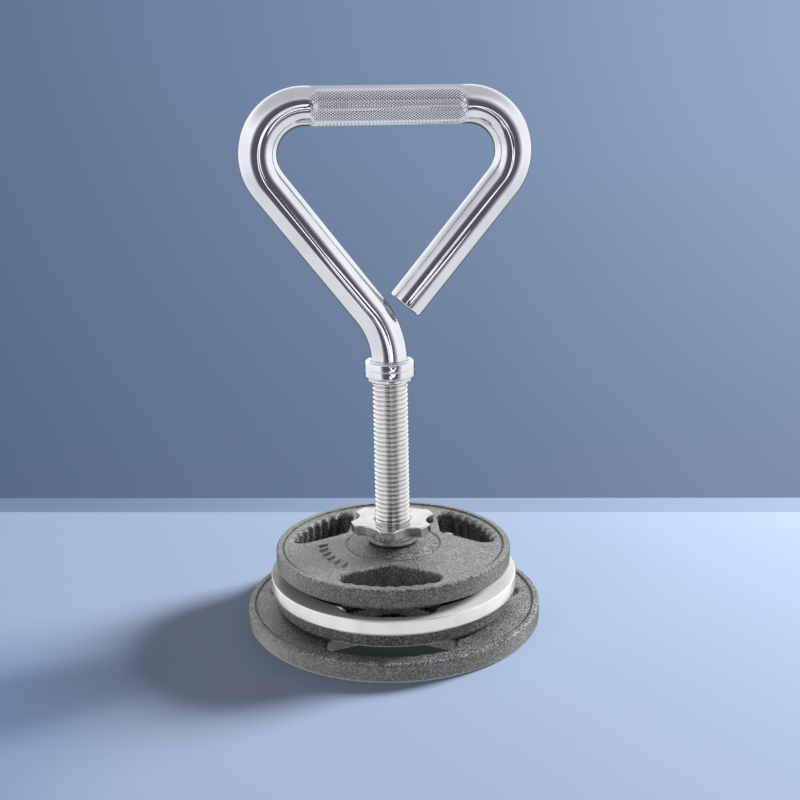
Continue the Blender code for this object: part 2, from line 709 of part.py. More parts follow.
def main():
    clear_scene()
    parts = new_collection("kettlebell_handle")
    cutters = new_collection("cutters")
    materials = {
        "chrome": new_material("chrome", (0.80, 0.80, 0.81), 1.0, 0.12),
        "thread": new_material("thread", (0.78, 0.78, 0.79), 1.0, 0.22),
        "polished": new_material("polished", (0.90, 0.90, 0.90), 1.0, 0.16),
        "hammertone": new_material("hammertone", (0.19, 0.21, 0.20), 0.3, 0.45),
        "steel": new_material("steel", (0.45, 0.45, 0.46), 1.0, 0.35),
        "rubber": new_material("rubber", (0.02, 0.02, 0.02), 0.0, 0.7),
    }
    build_handle_bar(parts, materials)
    build_collar_ring(parts, materials)
    build_threaded_stem(parts, cutters, materials)
    build_star_nut(parts, cutters, materials)
    build_nut_seal_ring(parts, materials)
    build_top_plate(parts, cutters, materials)
    build_bright_plate(parts, cutters, materials)
    build_thin_plate(parts, cutters, materials)
    build_base_plate(parts, cutters, materials)
    build_flange_pad(parts, materials)
    build_base_flange(parts, cutters, materials)
    build_end_washer(parts, materials)
    build_end_screw(parts, cutters, materials)


main()
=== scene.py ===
"""Kettlebell handle with four weight plates, dressed for the studio.

Metres, +Z up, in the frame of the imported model. The stem stands on the origin, the handle lies
in the XZ plane with its free end on the +X side, and the base plate stands on Z = 0.
"""

import logging
import math
from collections.abc import Callable, Iterable, Iterator, Sequence
from contextlib import contextmanager
from dataclasses import dataclass, field
from enum import Enum
from functools import cache

import bmesh
import bpy
import numpy as np
from mathutils import Matrix, Vector
from mathutils.geometry import delaunay_2d_cdt

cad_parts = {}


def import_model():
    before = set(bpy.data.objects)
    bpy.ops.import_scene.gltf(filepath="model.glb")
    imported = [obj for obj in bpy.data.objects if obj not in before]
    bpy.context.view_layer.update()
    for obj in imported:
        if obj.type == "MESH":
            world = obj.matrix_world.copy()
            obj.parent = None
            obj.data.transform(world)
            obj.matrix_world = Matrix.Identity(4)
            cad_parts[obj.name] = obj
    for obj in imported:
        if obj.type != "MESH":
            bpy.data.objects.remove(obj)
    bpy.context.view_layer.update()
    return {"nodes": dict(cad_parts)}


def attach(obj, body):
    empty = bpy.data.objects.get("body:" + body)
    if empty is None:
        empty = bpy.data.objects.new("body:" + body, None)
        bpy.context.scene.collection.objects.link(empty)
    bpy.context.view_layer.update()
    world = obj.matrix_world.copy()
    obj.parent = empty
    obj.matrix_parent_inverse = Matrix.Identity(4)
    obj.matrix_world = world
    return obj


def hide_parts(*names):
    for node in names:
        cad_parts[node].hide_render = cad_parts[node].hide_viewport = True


LOG = logging.getLogger("kettlebell")

Object = bpy.types.Object
Material = bpy.types.Material
Node = bpy.types.Node
Socket = bpy.types.NodeSocket
Point = tuple[float, float, float]
Flat = tuple[float, float]
# (x, y, radius of its rounding) of a corner of a line.
Corner = tuple[float, float, float]
Colour = tuple[float, float, float]
# (x, z, heading, run) of a place on the bar's centre line.
Place = tuple[float, float, float, float]
# (x, y, normal x, normal y, rib, grip) of a point of a hand hole.
HolePoint = tuple[float, float, float, float, float, float]

FULL_TURN = 2 * math.pi
QUARTER_TURN = math.pi / 2
# The first point of a level circle stands a little off the X axis, so that none lies on a diagonal.
FIRST_TURN = 0.0063
# A corner flatter than that isn't rounded, and a rounding takes up at most that share of a side.
NEARLY_STRAIGHT = math.radians(89.0)
NEARLY_HALF = 0.49
# Points nearer to each other than that are one: in a piece, where two pieces join, in a level area.
WELD = 2e-7
JOINT_WELD = 2e-6
FLAT_WELD = 1e-9
STRAIGHTENED = "straightened"
# The upward part of the normal, from a rounding to a level face.
FACE_SPAN = (0.80, 0.98)
WHITE = (1.0, 1.0, 1.0, 1.0)


class Body(Enum):
    """The bodies that pieces ride on."""

    ROOT = "root"
    NUT = "nut"
    NUT_SEAL = "nut_seal"


class Slot(Enum):
    """The record's material slots."""

    CHROME = "chrome"
    THREAD = "thread"
    NUT_CHROME = "nut_chrome"
    POLISHED = "polished"
    HAMMERTONE = "hammertone"
    RUBBER = "rubber"


# Shape tools.


def arc(centre: Flat, radius: float, start: float, end: float, steps: int) -> list[Flat]:
    """Points of an arc in the plane, its two ends included."""
    turns = [start + (end - start) * i / steps for i in range(steps + 1)]
    return [(centre[0] + radius * math.cos(t), centre[1] + radius * math.sin(t)) for t in turns]


def turned_flat(points: Iterable[Flat], angle: float) -> list[Flat]:
    """Flat points turned about the origin."""
    cosine, sine = math.cos(angle), math.sin(angle)
    return [(x * cosine - y * sine, x * sine + y * cosine) for x, y in points]


def between(low: float, high: float, value: float) -> float:
    """A smooth step from 0 at low to 1 at high."""
    share = min(1.0, max(0.0, (value - low) / (high - low)))
    return share * share * (3 - 2 * share)


def rounded(corners: Sequence[Corner], steps: int = 5) -> list[Flat]:
    """Round the corners of an open line, as a casting or a turned edge has them.

    Args:
        corners: (x, y, radius) of each corner. The radius of the two ends isn't used.
        steps: The number of parts of each rounding.

    Returns:
        The points of the line, with an arc at each corner that has a radius.
    """
    line: list[Flat] = [corners[0][:2]]
    for before, corner, after in zip(corners, corners[1:], corners[2:]):
        here = Vector(corner[:2])
        back = Vector(before[:2]) - here
        ahead = Vector(after[:2]) - here
        half = back.angle(ahead) / 2
        if corner[2] <= 0 or half > NEARLY_STRAIGHT:
            line.append(corner[:2])
            continue
        reach = min(corner[2] / math.tan(half), NEARLY_HALF * back.length, NEARLY_HALF * ahead.length)
        radius = reach * math.tan(half)
        middle = here + (back.normalized() + ahead.normalized()).normalized() * (radius / math.sin(half))
        first = here + back.normalized() * reach - middle
        last = here + ahead.normalized() * reach - middle
        sweep = math.atan2(first.x * last.y - first.y * last.x, first.dot(last))
        start = math.atan2(first.y, first.x)
        line += arc((middle.x, middle.y), radius, start, start + sweep, steps)
    line.append(corners[-1][:2])
    return line


@contextmanager
def edited(mesh: bpy.types.Mesh) -> Iterator[bmesh.types.BMesh]:
    """Open a mesh for editing and write it back with its faces turned outwards.

    Args:
        mesh: The mesh.

    Yields:
        The open mesh.
    """
    body = bmesh.new()
    body.from_mesh(mesh)
    yield body
    bmesh.ops.recalc_face_normals(body, faces=body.faces)
    body.to_mesh(mesh)
    body.free()


class Surface:
    """Gathers the points and faces of one piece, ring by ring."""

    def __init__(self) -> None:
        """Start with nothing."""
        self.points: list[Point] = []
        self.faces: list[tuple[int, ...]] = []
        self.straightened: list[Point] = []

    def ring(self, points: Iterable[Point], straightened: Iterable[Point] = ()) -> list[int]:
        """Add points.

        Args:
            points: The points in order.
            straightened: Where each point would be if the piece were straight, for its grain.

        Returns:
            Their numbers.
        """
        start = len(self.points)
        self.points.extend(points)
        self.straightened.extend(straightened)
        return list(range(start, len(self.points)))

    def circle(self, radius: float, height: float, steps: int) -> list[int]:
        """Add a level circle about the stem and return the numbers of its points."""
        turns = [FIRST_TURN + FULL_TURN * i / steps for i in range(steps)]
        return self.ring((radius * math.cos(t), radius * math.sin(t), height) for t in turns)

    def bridge(self, first: Sequence[int], second: Sequence[int]) -> None:
        """Join two closed rings of as many points with faces."""
        self.faces.extend(zip(first, [*first[1:], first[0]], [*second[1:], second[0]], second))

    def cap(self, ring: Sequence[int]) -> None:
        """Close a ring with one face."""
        self.faces.append(tuple(ring))

    def tube(self, rings: Sequence[Sequence[int]]) -> None:
        """Join each ring to the next one."""
        for first, second in zip(rings, rings[1:]):
            self.bridge(first, second)

    def strip(self, rows: Sequence[Sequence[int]]) -> None:
        """Join rows of two points each with faces."""
        self.faces.extend((*near, far[1], far[0]) for near, far in zip(rows, rows[1:]))

    def turn(self, profile: Sequence[Flat], steps: int, closed: bool = False) -> list[list[int]]:
        """Turn a profile about the stem.

        Args:
            profile: (radius, height) of its points.
            steps: How many parts a turn has.
            closed: Whether the last point joins the first.

        Returns:
            The rings.
        """
        rings = [self.circle(radius, height, steps) for radius, height in profile]
        self.tube([*rings, rings[0]] if closed else rings)
        return rings

    def level(self, rings: Sequence[Sequence[int]]) -> None:
        """Fill the level area inside an odd number of the rings, as between a rim and holes.

        Args:
            rings: The numbers of the points of each ring.
        """
        numbers = [number for ring in rings for number in ring]
        flat = [Vector(self.points[number][:2]) for number in numbers]
        edges: list[tuple[int, int]] = []
        start = 0
        for ring in rings:
            edges += [(start + i, start + (i + 1) % len(ring)) for i in range(len(ring))]
            start += len(ring)
        _, _, triangles, came_from, _, _ = delaunay_2d_cdt(flat, edges, [], 0, FLAT_WELD)
        ends = np.array([(*flat[a], *flat[b]) for a, b in edges])
        for triangle in triangles:
            corners = [came_from[corner][0] for corner in triangle]
            x, y = np.mean([flat[corner] for corner in corners], axis=0)
            run = ends[(ends[:, 1] > y) != (ends[:, 3] > y)]
            hits = run[:, 0] + (y - run[:, 1]) * (run[:, 2] - run[:, 0]) / (run[:, 3] - run[:, 1])
            if np.count_nonzero(hits > x) % 2:
                self.faces.append(tuple(numbers[corner] for corner in corners))

    def piece(self, name: str, sharp: float = 32.0, weighted: bool = False) -> Object:
        """Make the object.

        Args:
            name: The name of the piece.
            sharp: The angle in degrees from which an edge is drawn sharp.
            weighted: Whether large flat faces set the shading of the roundings round them.

        Returns:
            The new object, linked to the scene.
        """
        mesh = bpy.data.meshes.new(name)
        mesh.from_pydata(self.points, [], self.faces)
        if self.straightened:
            places = mesh.attributes.new(STRAIGHTENED, "FLOAT_VECTOR", "POINT")
            places.data.foreach_set("vector", np.ravel(self.straightened))
        with edited(mesh) as body:
            bmesh.ops.remove_doubles(body, verts=body.verts, dist=WELD)
        mesh.shade_smooth()
        mesh.set_sharp_from_angle(angle=math.radians(sharp))
        obj = bpy.data.objects.new(name, mesh)
        bpy.context.scene.collection.objects.link(obj)
        if weighted:
            modifier = obj.modifiers.new("flat faces lead", "WEIGHTED_NORMAL")
            modifier.mode = "FACE_AREA"
            modifier.keep_sharp = True
        return obj


def cut_level(obj: Object, heights: Sequence[tuple[float, int]], fill: bool) -> None:
    """Cut a piece off level.

    Args:
        obj: The piece.
        heights: (height, side) of each cut, where side is 1 to lose what is above and -1 for below.
        fill: Whether the cuts are closed.
    """
    with edited(obj.data) as body:
        for height, side in heights:
            geometry = [*body.verts, *body.edges, *body.faces]
            found = bmesh.ops.bisect_plane(
                body, geom=geometry, plane_co=(0.0, 0.0, height), plane_no=(0.0, 0.0, side), clear_outer=True
            )
            if fill:
                edges = [part for part in found["geom_cut"] if isinstance(part, bmesh.types.BMEdge)]
                bmesh.ops.edgeloop_fill(body, edges=edges)


def join_meshes(target: Object, other: Object) -> None:
    """Move the mesh of the other piece into the target, weld the two and remove the other.

    Args:
        target: The piece that stays.
        other: The piece that goes into it.
    """
    with edited(target.data) as body:
        body.from_mesh(other.data)
        bmesh.ops.remove_doubles(body, verts=body.verts, dist=JOINT_WELD)
    bpy.data.objects.remove(other, do_unlink=True)


# Finishes.


class Graph:
    """A short way to lay out the nodes of a material or of the world."""

    def __init__(self, tree: bpy.types.NodeTree) -> None:
        """Work on a node tree."""
        self.tree = tree

    def feed(self, node: Node, **inputs: object) -> None:
        """Set or link sockets of a node.

        Args:
            node: The node.
            **inputs: Its sockets by name, with _ for a blank, or n0, n1 for the first and second. Each takes
                a value, or a socket to link.
        """
        for name, value in inputs.items():
            number = name[1:]
            socket = node.inputs[int(number) if number.isdigit() else name.replace("_", " ")]
            if isinstance(value, Socket):
                self.tree.links.new(value, socket)
            else:
                socket.default_value = value

    def node(self, kind: str, settings: dict[str, object] | None = None, **inputs: object) -> Node:
        """Add a node.

        Args:
            kind: Its type without ShaderNode in front, such as Math.
            settings: Its properties by name.
            **inputs: Its sockets, as feed takes them.

        Returns:
            The node.
        """
        made = self.tree.nodes.new(f"ShaderNode{kind}")
        for name, value in (settings or {}).items():
            setattr(made, name, value)
        self.feed(made, **inputs)
        return made

    def math(self, operation: str, *values: object) -> Socket:
        """The result of a Math node of that operation on values or sockets."""
        inputs = {f"n{i}": value for i, value in enumerate(values)}
        return self.node("Math", {"operation": operation}, **inputs).outputs[0]

    def vector(self, operation: str, *values: object, output: str = "Value") -> Socket:
        """The result of a Vector Math node of that operation on values or sockets."""
        inputs = {f"n{i}": value for i, value in enumerate(values)}
        return self.node("VectorMath", {"operation": operation}, **inputs).outputs[output]

    def dot(self, vector: Socket, along: Sequence[float]) -> Socket:
        """How far a vector reaches along a fixed one."""
        return self.vector("DOT_PRODUCT", vector, tuple(along))

    def stretched(self, vector: Socket, scale: Point) -> Socket:
        """A vector multiplied axis by axis."""
        return self.vector("MULTIPLY", vector, scale, output="Vector")

    def radius(self, place: Socket, axes: Point = (1.0, 1.0, 0.0)) -> Socket:
        """The distance from an axis, given as 0 among ones."""
        return self.vector("LENGTH", self.stretched(place, axes))

    def rise(self, vector: Socket) -> Socket:
        """The upward part of a vector."""
        return self.node("SeparateXYZ", Vector=vector).outputs["Z"]

    def place(self) -> Socket:
        """The place on the piece."""
        return self.node("TexCoord").outputs["Object"]

    def span(
        self,
        value: object,
        low: float,
        high: float,
        start: float = 0.0,
        end: float = 1.0,
        steps: str = "SMOOTHSTEP",
    ) -> Socket:
        """Map a value from one span to another.

        Args:
            value: The value.
            low: The value that gives start.
            high: The value that gives end.
            start: The result at low and before it.
            end: The result at high and beyond it.
            steps: SMOOTHSTEP or LINEAR.

        Returns:
            The result.
        """
        settings = {"interpolation_type": steps}
        ends = {"From_Min": low, "From_Max": high, "To_Min": start, "To_Max": end}
        return self.node("MapRange", settings, Value=value, **ends).outputs["Result"]

    def ramp(self, value: Socket, stops: Sequence[tuple[float, Colour]]) -> Socket:
        """Colours along a value.

        Args:
            value: The value, from 0 to 1.
            stops: (place, colour) of each stop.

        Returns:
            The colour socket.
        """
        made = self.node("ValToRGB", Fac=value)
        elements = made.color_ramp.elements
        while len(elements) < len(stops):
            elements.new(0.5)
        for element, (place, colour) in zip(elements, stops):
            element.position = place
            element.color = (*colour, 1.0)
        return made.outputs["Color"]

    def blend(self, share: object, first: object, second: object) -> Socket:
        """Mix two colours, given as sockets or as (r, g, b)."""
        # A Mix node has its colour sockets at 6 and 7, and their result at 2.
        first, second = ((*part, 1.0) if isinstance(part, tuple) else part for part in (first, second))
        return self.node("Mix", {"data_type": "RGBA"}, n0=share, n6=first, n7=second).outputs[2]

    def noise(self, vector: Socket, scale: float, detail: float = 3.0, roughness: float = 0.55) -> Socket:
        """A noise value from about 0 to 1."""
        inputs = {"Vector": vector, "Scale": scale, "Detail": detail, "Roughness": roughness}
        return self.node("TexNoise", **inputs).outputs["Fac"]

    def bump(self, height: Socket, distance: float, strength: object = 1.0) -> Socket:
        """A normal that a height in the unit of distance makes."""
        return self.node("Bump", Height=height, Distance=distance, Strength=strength).outputs["Normal"]

    def mixed(self, share: Socket, first: Socket, second: Socket) -> Socket:
        """Mix two shaders."""
        return self.node("MixShader", Fac=share, n1=first, n2=second).outputs[0]


def new_material(name: str) -> tuple[Material, Graph, Node]:
    """Start a material.

    Args:
        name: Its name.

    Returns:
        The material, its graph and its shader.
    """
    material = bpy.data.materials.new(name)
    material.use_nodes = True
    tree = material.node_tree
    return material, Graph(tree), tree.nodes["Principled BSDF"]


@dataclass(frozen=True)
class ChromeFinish:
    """Bright chrome with the fine lines of its polishing wheel and a little haze.

    Below the groove's first radius it has the groove's colour, painted darker as shade in the grooves, and
    beyond the second its own.
    """

    name: str
    colour: Colour = (0.73, 0.76, 0.81)
    haze: Colour = (0.65, 0.69, 0.74)
    roughness: float = 0.04
    haze_roughness: float = 0.075
    haze_scale: float = 46.0
    haze_span: Flat = (0.42, 0.72)
    line_depth: float = 0.0000005
    along_bar: bool = False
    bar_lines: Point = (28.0, 2600.0, 2600.0)
    turned_lines: Point = (500.0, 500.0, 2600.0)
    groove: Flat = (0.0, 0.0)
    groove_shade: Colour = (0.31, 0.31, 0.32)

    def material(self) -> Material:
        """Build the material.

        Returns:
            The material.
        """
        material, graph, shader = new_material(self.name)
        if self.along_bar:
            place = graph.node("Attribute", {"attribute_name": STRAIGHTENED}).outputs["Vector"]
            grain, axes = self.bar_lines, (0.0, 1.0, 1.0)
        else:
            place = graph.place()
            grain, axes = self.turned_lines, (1.0, 1.0, 0.0)
        lines = graph.noise(graph.stretched(place, grain), 1.0, detail=2.0)
        cloud = graph.span(graph.noise(place, self.haze_scale, detail=5.0, roughness=0.62), *self.haze_span)
        colour = graph.blend(cloud, self.colour, self.haze)
        if self.groove[1]:
            # Painted shade in the knurl's grooves and the thread's roots.
            proud = graph.span(graph.radius(place, axes), *self.groove)
            colour = graph.blend(proud, self.groove_shade, colour)
        graph.feed(
            shader,
            Base_Color=colour,
            Metallic=1.0,
            Roughness=graph.span(cloud, 0.0, 1.0, self.roughness, self.haze_roughness),
            Normal=graph.bump(lines, self.line_depth),
        )
        return material


@dataclass(frozen=True)
class SatinFinish:
    """Bright satin plating over a casting: a nearly white ground wall and a duller face.

    The face is painted black as shade in the gap under the plate above, where little light gets in.
    """

    name: str
    colour: Colour = (0.97, 0.97, 0.96)
    shade: Colour = (0.88, 0.88, 0.875)
    shade_scale: float = 60.0
    shade_span: Flat = (0.35, 0.75)
    face: Colour = (0.60, 0.60, 0.60)
    face_share: float = 0.04
    # Painted shade: the near-black face in the gap under the plate above, inside a slightly ragged radius.
    painted_gap_shade: Colour = (0.018, 0.020, 0.019)
    gap_shade_edge: Flat = (0.0733, 0.0750)
    gap_shade_wander: float = 0.0012
    metallic: float = 0.68
    face_metallic: float = 0.10
    roughness: float = 0.20
    shade_roughness: float = 0.09
    gap_roughness: float = 0.25
    face_roughness: float = 0.18
    wave_scale: float = 120.0
    wave_depth: float = 0.000014

    def material(self) -> Material:
        """Build the material.

        Returns:
            The material.
        """
        material, graph, shader = new_material(self.name)
        place = graph.place()
        flat = graph.span(graph.rise(graph.node("NewGeometry").outputs["Normal"]), *FACE_SPAN)
        cloud = graph.noise(place, self.shade_scale, detail=5.0, roughness=0.6)
        cloud = graph.span(cloud, *self.shade_span)
        wave = graph.noise(place, self.wave_scale, detail=2.0)
        wander = graph.math("SUBTRACT", wave, 0.5)
        ragged = graph.math("MULTIPLY_ADD", wander, self.gap_shade_wander, graph.radius(place))
        # Mask of the painted shade in the gap under the plate above.
        gap_shade_mask = graph.span(ragged, *self.gap_shade_edge, 1.0, 0.0)
        colour = graph.blend(cloud, self.colour, self.shade)
        colour = graph.blend(graph.math("MULTIPLY", flat, self.face_share), colour, self.face)
        rough = graph.span(cloud, 0.0, 1.0, self.roughness, self.roughness + self.shade_roughness)
        rough = graph.math("MULTIPLY_ADD", gap_shade_mask, self.gap_roughness, rough)
        rough = graph.math("MULTIPLY_ADD", flat, self.face_roughness, rough)
        dull = graph.math("MAXIMUM", flat, gap_shade_mask)
        graph.feed(
            shader,
            Base_Color=graph.blend(gap_shade_mask, colour, self.painted_gap_shade),
            Metallic=graph.span(dull, 0.0, 1.0, self.metallic, self.face_metallic),
            Roughness=rough,
            Normal=graph.bump(wave, self.wave_depth),
        )
        return material


@dataclass(frozen=True)
class HammertoneFinish:
    """Grey hammertone enamel: a fine beaten grain of dark pits and light flecks under a gloss coat.

    The grain is calmer on level faces. Rounded edges are painted lighter as a highlight, walls are painted
    darker as shade, and inner corners are painted darker as shade.
    """

    name: str
    base: Colour = (0.190, 0.208, 0.188)
    light: Colour = (0.53, 0.56, 0.53)
    deep: Colour = (0.014, 0.019, 0.015)
    # Painted highlight on rounded edges.
    painted_edge_highlight: Colour = (0.44, 0.47, 0.44)
    # Painted shade on steep walls, stronger the steeper they are.
    wall: Colour = (0.045, 0.068, 0.046)
    wall_shade_share: float = 0.56
    wall_shade_span: Flat = (0.30, 0.75)
    pit_scale: float = 780.0
    pit_span: Flat = (0.43, 0.51)
    fleck_span: Flat = (0.54, 0.60)
    patch_scale: float = 130.0
    patch_push: float = 0.20
    broad_scale: float = 38.0
    broad_span: Flat = (0.35, 0.65)
    broad_share: float = 0.22
    face_calm: float = 0.70
    hub_span: Flat = (0.0345, 0.0353)
    edge_span: Flat = (0.550, 0.590)
    edge_grain: float = 0.06
    edge_share: float = 0.85
    round_top: Flat = (0.985, 0.93)
    round_foot: Flat = (0.04, 0.20)
    # Painted shade in inner corners, towards the colour of the pits.
    inner_corner_shade_span: Flat = (0.43, 0.485)
    inner_corner_shade_share: float = 0.8
    relief: float = 0.0008
    gloss_span: Flat = (0.3, 0.7)
    roughness: Flat = (0.26, 0.40)
    coat_roughness: float = 0.18
    metallic: float = 0.10

    def material(self) -> Material:
        """Build the material.

        Returns:
            The material.
        """
        material, graph, shader = new_material(self.name)
        place = graph.place()
        shape = graph.node("NewGeometry").outputs
        level = graph.rise(shape["Normal"])
        hub = graph.span(graph.radius(place), *self.hub_span, 1.0, 0.0)
        calm = graph.math("MAXIMUM", hub, graph.span(level, *FACE_SPAN, 1.0, self.face_calm))
        fine = graph.noise(place, self.pit_scale, roughness=0.62)
        patch = graph.noise(place, self.patch_scale, roughness=0.6)
        broad = graph.noise(place, self.broad_scale, roughness=0.6)
        gather = graph.math("MULTIPLY_ADD", graph.math("SUBTRACT", patch, 0.5), self.patch_push, fine)
        pits = graph.math("MULTIPLY", graph.span(gather, *self.pit_span, 1.0, 0.0), calm)
        flecks = graph.math("MULTIPLY", graph.span(gather, *self.fleck_span), calm)
        # Painted highlight on rounded edges, where Pointiness is high.
        bent = graph.math("MULTIPLY_ADD", fine, self.edge_grain, shape["Pointiness"])
        edge = graph.span(bent, *self.edge_span, 0.0, self.edge_share)
        rounding = graph.span(level, *self.round_top)
        rounding = graph.math("MULTIPLY", rounding, graph.span(level, *self.round_foot))
        edge = graph.math("MULTIPLY", edge, rounding)
        # Painted shade in inner corners, where Pointiness is low.
        inner_corner_shade = graph.span(shape["Pointiness"], *self.inner_corner_shade_span, self.inner_corner_shade_share, 0.0)
        cloud = graph.span(broad, *self.broad_span, 0.0, self.broad_share)
        colour = graph.blend(cloud, self.base, self.light)
        colour = graph.blend(flecks, colour, self.light)
        colour = graph.blend(pits, colour, self.deep)
        # Painted shade on walls, by how steep they are.
        colour = graph.blend(graph.span(level, *self.wall_shade_span, self.wall_shade_share, 0.0), colour, self.wall)
        colour = graph.blend(edge, colour, self.painted_edge_highlight)
        relief = graph.bump(gather, self.relief, calm)
        graph.feed(
            shader,
            Base_Color=graph.blend(inner_corner_shade, colour, self.deep),
            Metallic=self.metallic,
            Roughness=graph.span(broad, *self.gloss_span, *self.roughness),
            Normal=relief,
            Coat_Weight=1.0,
            Coat_Roughness=self.coat_roughness,
            Coat_Normal=relief,
        )
        return material


@dataclass(frozen=True)
class ZincFinish:
    """Zinc plated steel, turned, with a dull spangle."""

    name: str
    colour: Colour = (0.52, 0.53, 0.55)
    shade: Colour = (0.36, 0.37, 0.40)
    spangle_scale: float = 260.0
    spangle_span: Flat = (0.1, 0.8)
    roughness: Flat = (0.28, 0.46)
    turning_scale: float = 14000.0
    turning_depth: float = 0.000004

    def material(self) -> Material:
        """Build the material.

        Returns:
            The material.
        """
        material, graph, shader = new_material(self.name)
        place = graph.place()
        spangle = graph.node("TexVoronoi", Vector=place, Scale=self.spangle_scale).outputs["Distance"]
        rings = graph.math("SINE", graph.math("MULTIPLY", graph.radius(place), self.turning_scale))
        graph.feed(
            shader,
            Base_Color=graph.blend(graph.span(spangle, *self.spangle_span), self.colour, self.shade),
            Metallic=1.0,
            Roughness=graph.span(spangle, 0.0, 1.0, *self.roughness),
            Normal=graph.bump(rings, self.turning_depth),
        )
        return material


@dataclass(frozen=True)
class RubberFinish:
    """Matt black rubber with a dusty bloom."""

    name: str
    colour: Colour = (0.018, 0.018, 0.019)
    bloom: Colour = (0.055, 0.056, 0.058)
    bloom_scale: float = 160.0
    bloom_span: Flat = (0.4, 0.75)
    roughness: Flat = (0.55, 0.78)
    grain_scale: float = 2400.0
    grain_depth: float = 0.00004

    def material(self) -> Material:
        """Build the material.

        Returns:
            The material.
        """
        material, graph, shader = new_material(self.name)
        place = graph.place()
        cloud = graph.noise(place, self.bloom_scale, detail=5.0, roughness=0.65)
        cloud = graph.span(cloud, *self.bloom_span)
        graph.feed(
            shader,
            Base_Color=graph.blend(cloud, self.colour, self.bloom),
            Roughness=graph.span(cloud, 0.0, 1.0, *self.roughness),
            Normal=graph.bump(graph.noise(place, self.grain_scale, detail=2.0), self.grain_depth),
        )
        return material


@dataclass(frozen=True)
class GlowFinish:
    """A surface that only glows, as daylight."""

    name: str
    colour: Colour = (0.95, 0.94, 1.0)

    def material(self, strength: Callable[[Graph], object]) -> Material:
        """Build the material.

        Args:
            strength: Gives the strength, as a value or a socket of the graph.

        Returns:
            The material.
        """
        material, graph, _ = new_material(self.name)
        graph.tree.nodes.clear()
        light = graph.node("Emission", Color=(*self.colour, 1.0), Strength=strength(graph)).outputs[0]
        graph.node("OutputMaterial", Surface=light)
        return material


Finish = ChromeFinish | SatinFinish | HammertoneFinish | ZincFinish | RubberFinish


@cache
def material_of(finish: Finish) -> Material:
    """Build the material of a finish, once for all its pieces."""
    return finish.material()


def install(obj: Object, finish: Finish, body: Body, slot: Slot, node: str) -> None:
    """Dress a piece, let it ride on its body and let it stand for its CAD node.

    Args:
        obj: The piece.
        finish: Its finish.
        body: The body that it rides on.
        slot: The record's material slot of its finish. It is not used.
        node: The CAD node that it replaces.
    """
    obj.data.materials.clear()
    obj.data.materials.append(material_of(finish))
    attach(obj, body.value)
    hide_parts(node)
    LOG.info("built %s with %d faces for %s", obj.name, len(obj.data.polygons), node)


def dress_node(obj: Object, finish: Finish) -> None:
    """Give a CAD piece that stays a better finish."""
    for slot in obj.material_slots:
        slot.material = material_of(finish)


# Handle.


@dataclass
class BarLine:
    """The centre line of the bar in the XZ plane, drawn by going ahead and turning."""

    x: float
    z: float
    heading: float = QUARTER_TURN
    run: float = 0.0
    points: list[Place] = field(default_factory=list)

    def mark(self) -> None:
        """Keep the present place."""
        self.points.append((self.x, self.z, self.heading, self.run))

    def ahead(self, length: float, step: float = 0.004) -> None:
        """Go straight on and mark every step.

        Args:
            length: How far to go.
            step: The longest step.
        """
        count = max(1, math.ceil(length / step))
        for _ in range(count):
            self.x += length / count * math.cos(self.heading)
            self.z += length / count * math.sin(self.heading)
            self.run += length / count
            self.mark()

    def bend(self, radius: float, turn: float, step: float = math.radians(2.5)) -> None:
        """Go round an arc and mark every step.

        Args:
            radius: The radius of the centre line.
            turn: How far to turn, to the left of the heading where it is positive.
            step: The largest step.
        """
        count = math.ceil(abs(turn) / step)
        side = math.copysign(radius, turn)
        centre = (self.x - side * math.sin(self.heading), self.z + side * math.cos(self.heading))
        for _ in range(count):
            self.heading += turn / count
            self.x = centre[0] + side * math.sin(self.heading)
            self.z = centre[1] - side * math.cos(self.heading)
            self.run += radius * abs(turn) / count
            self.mark()


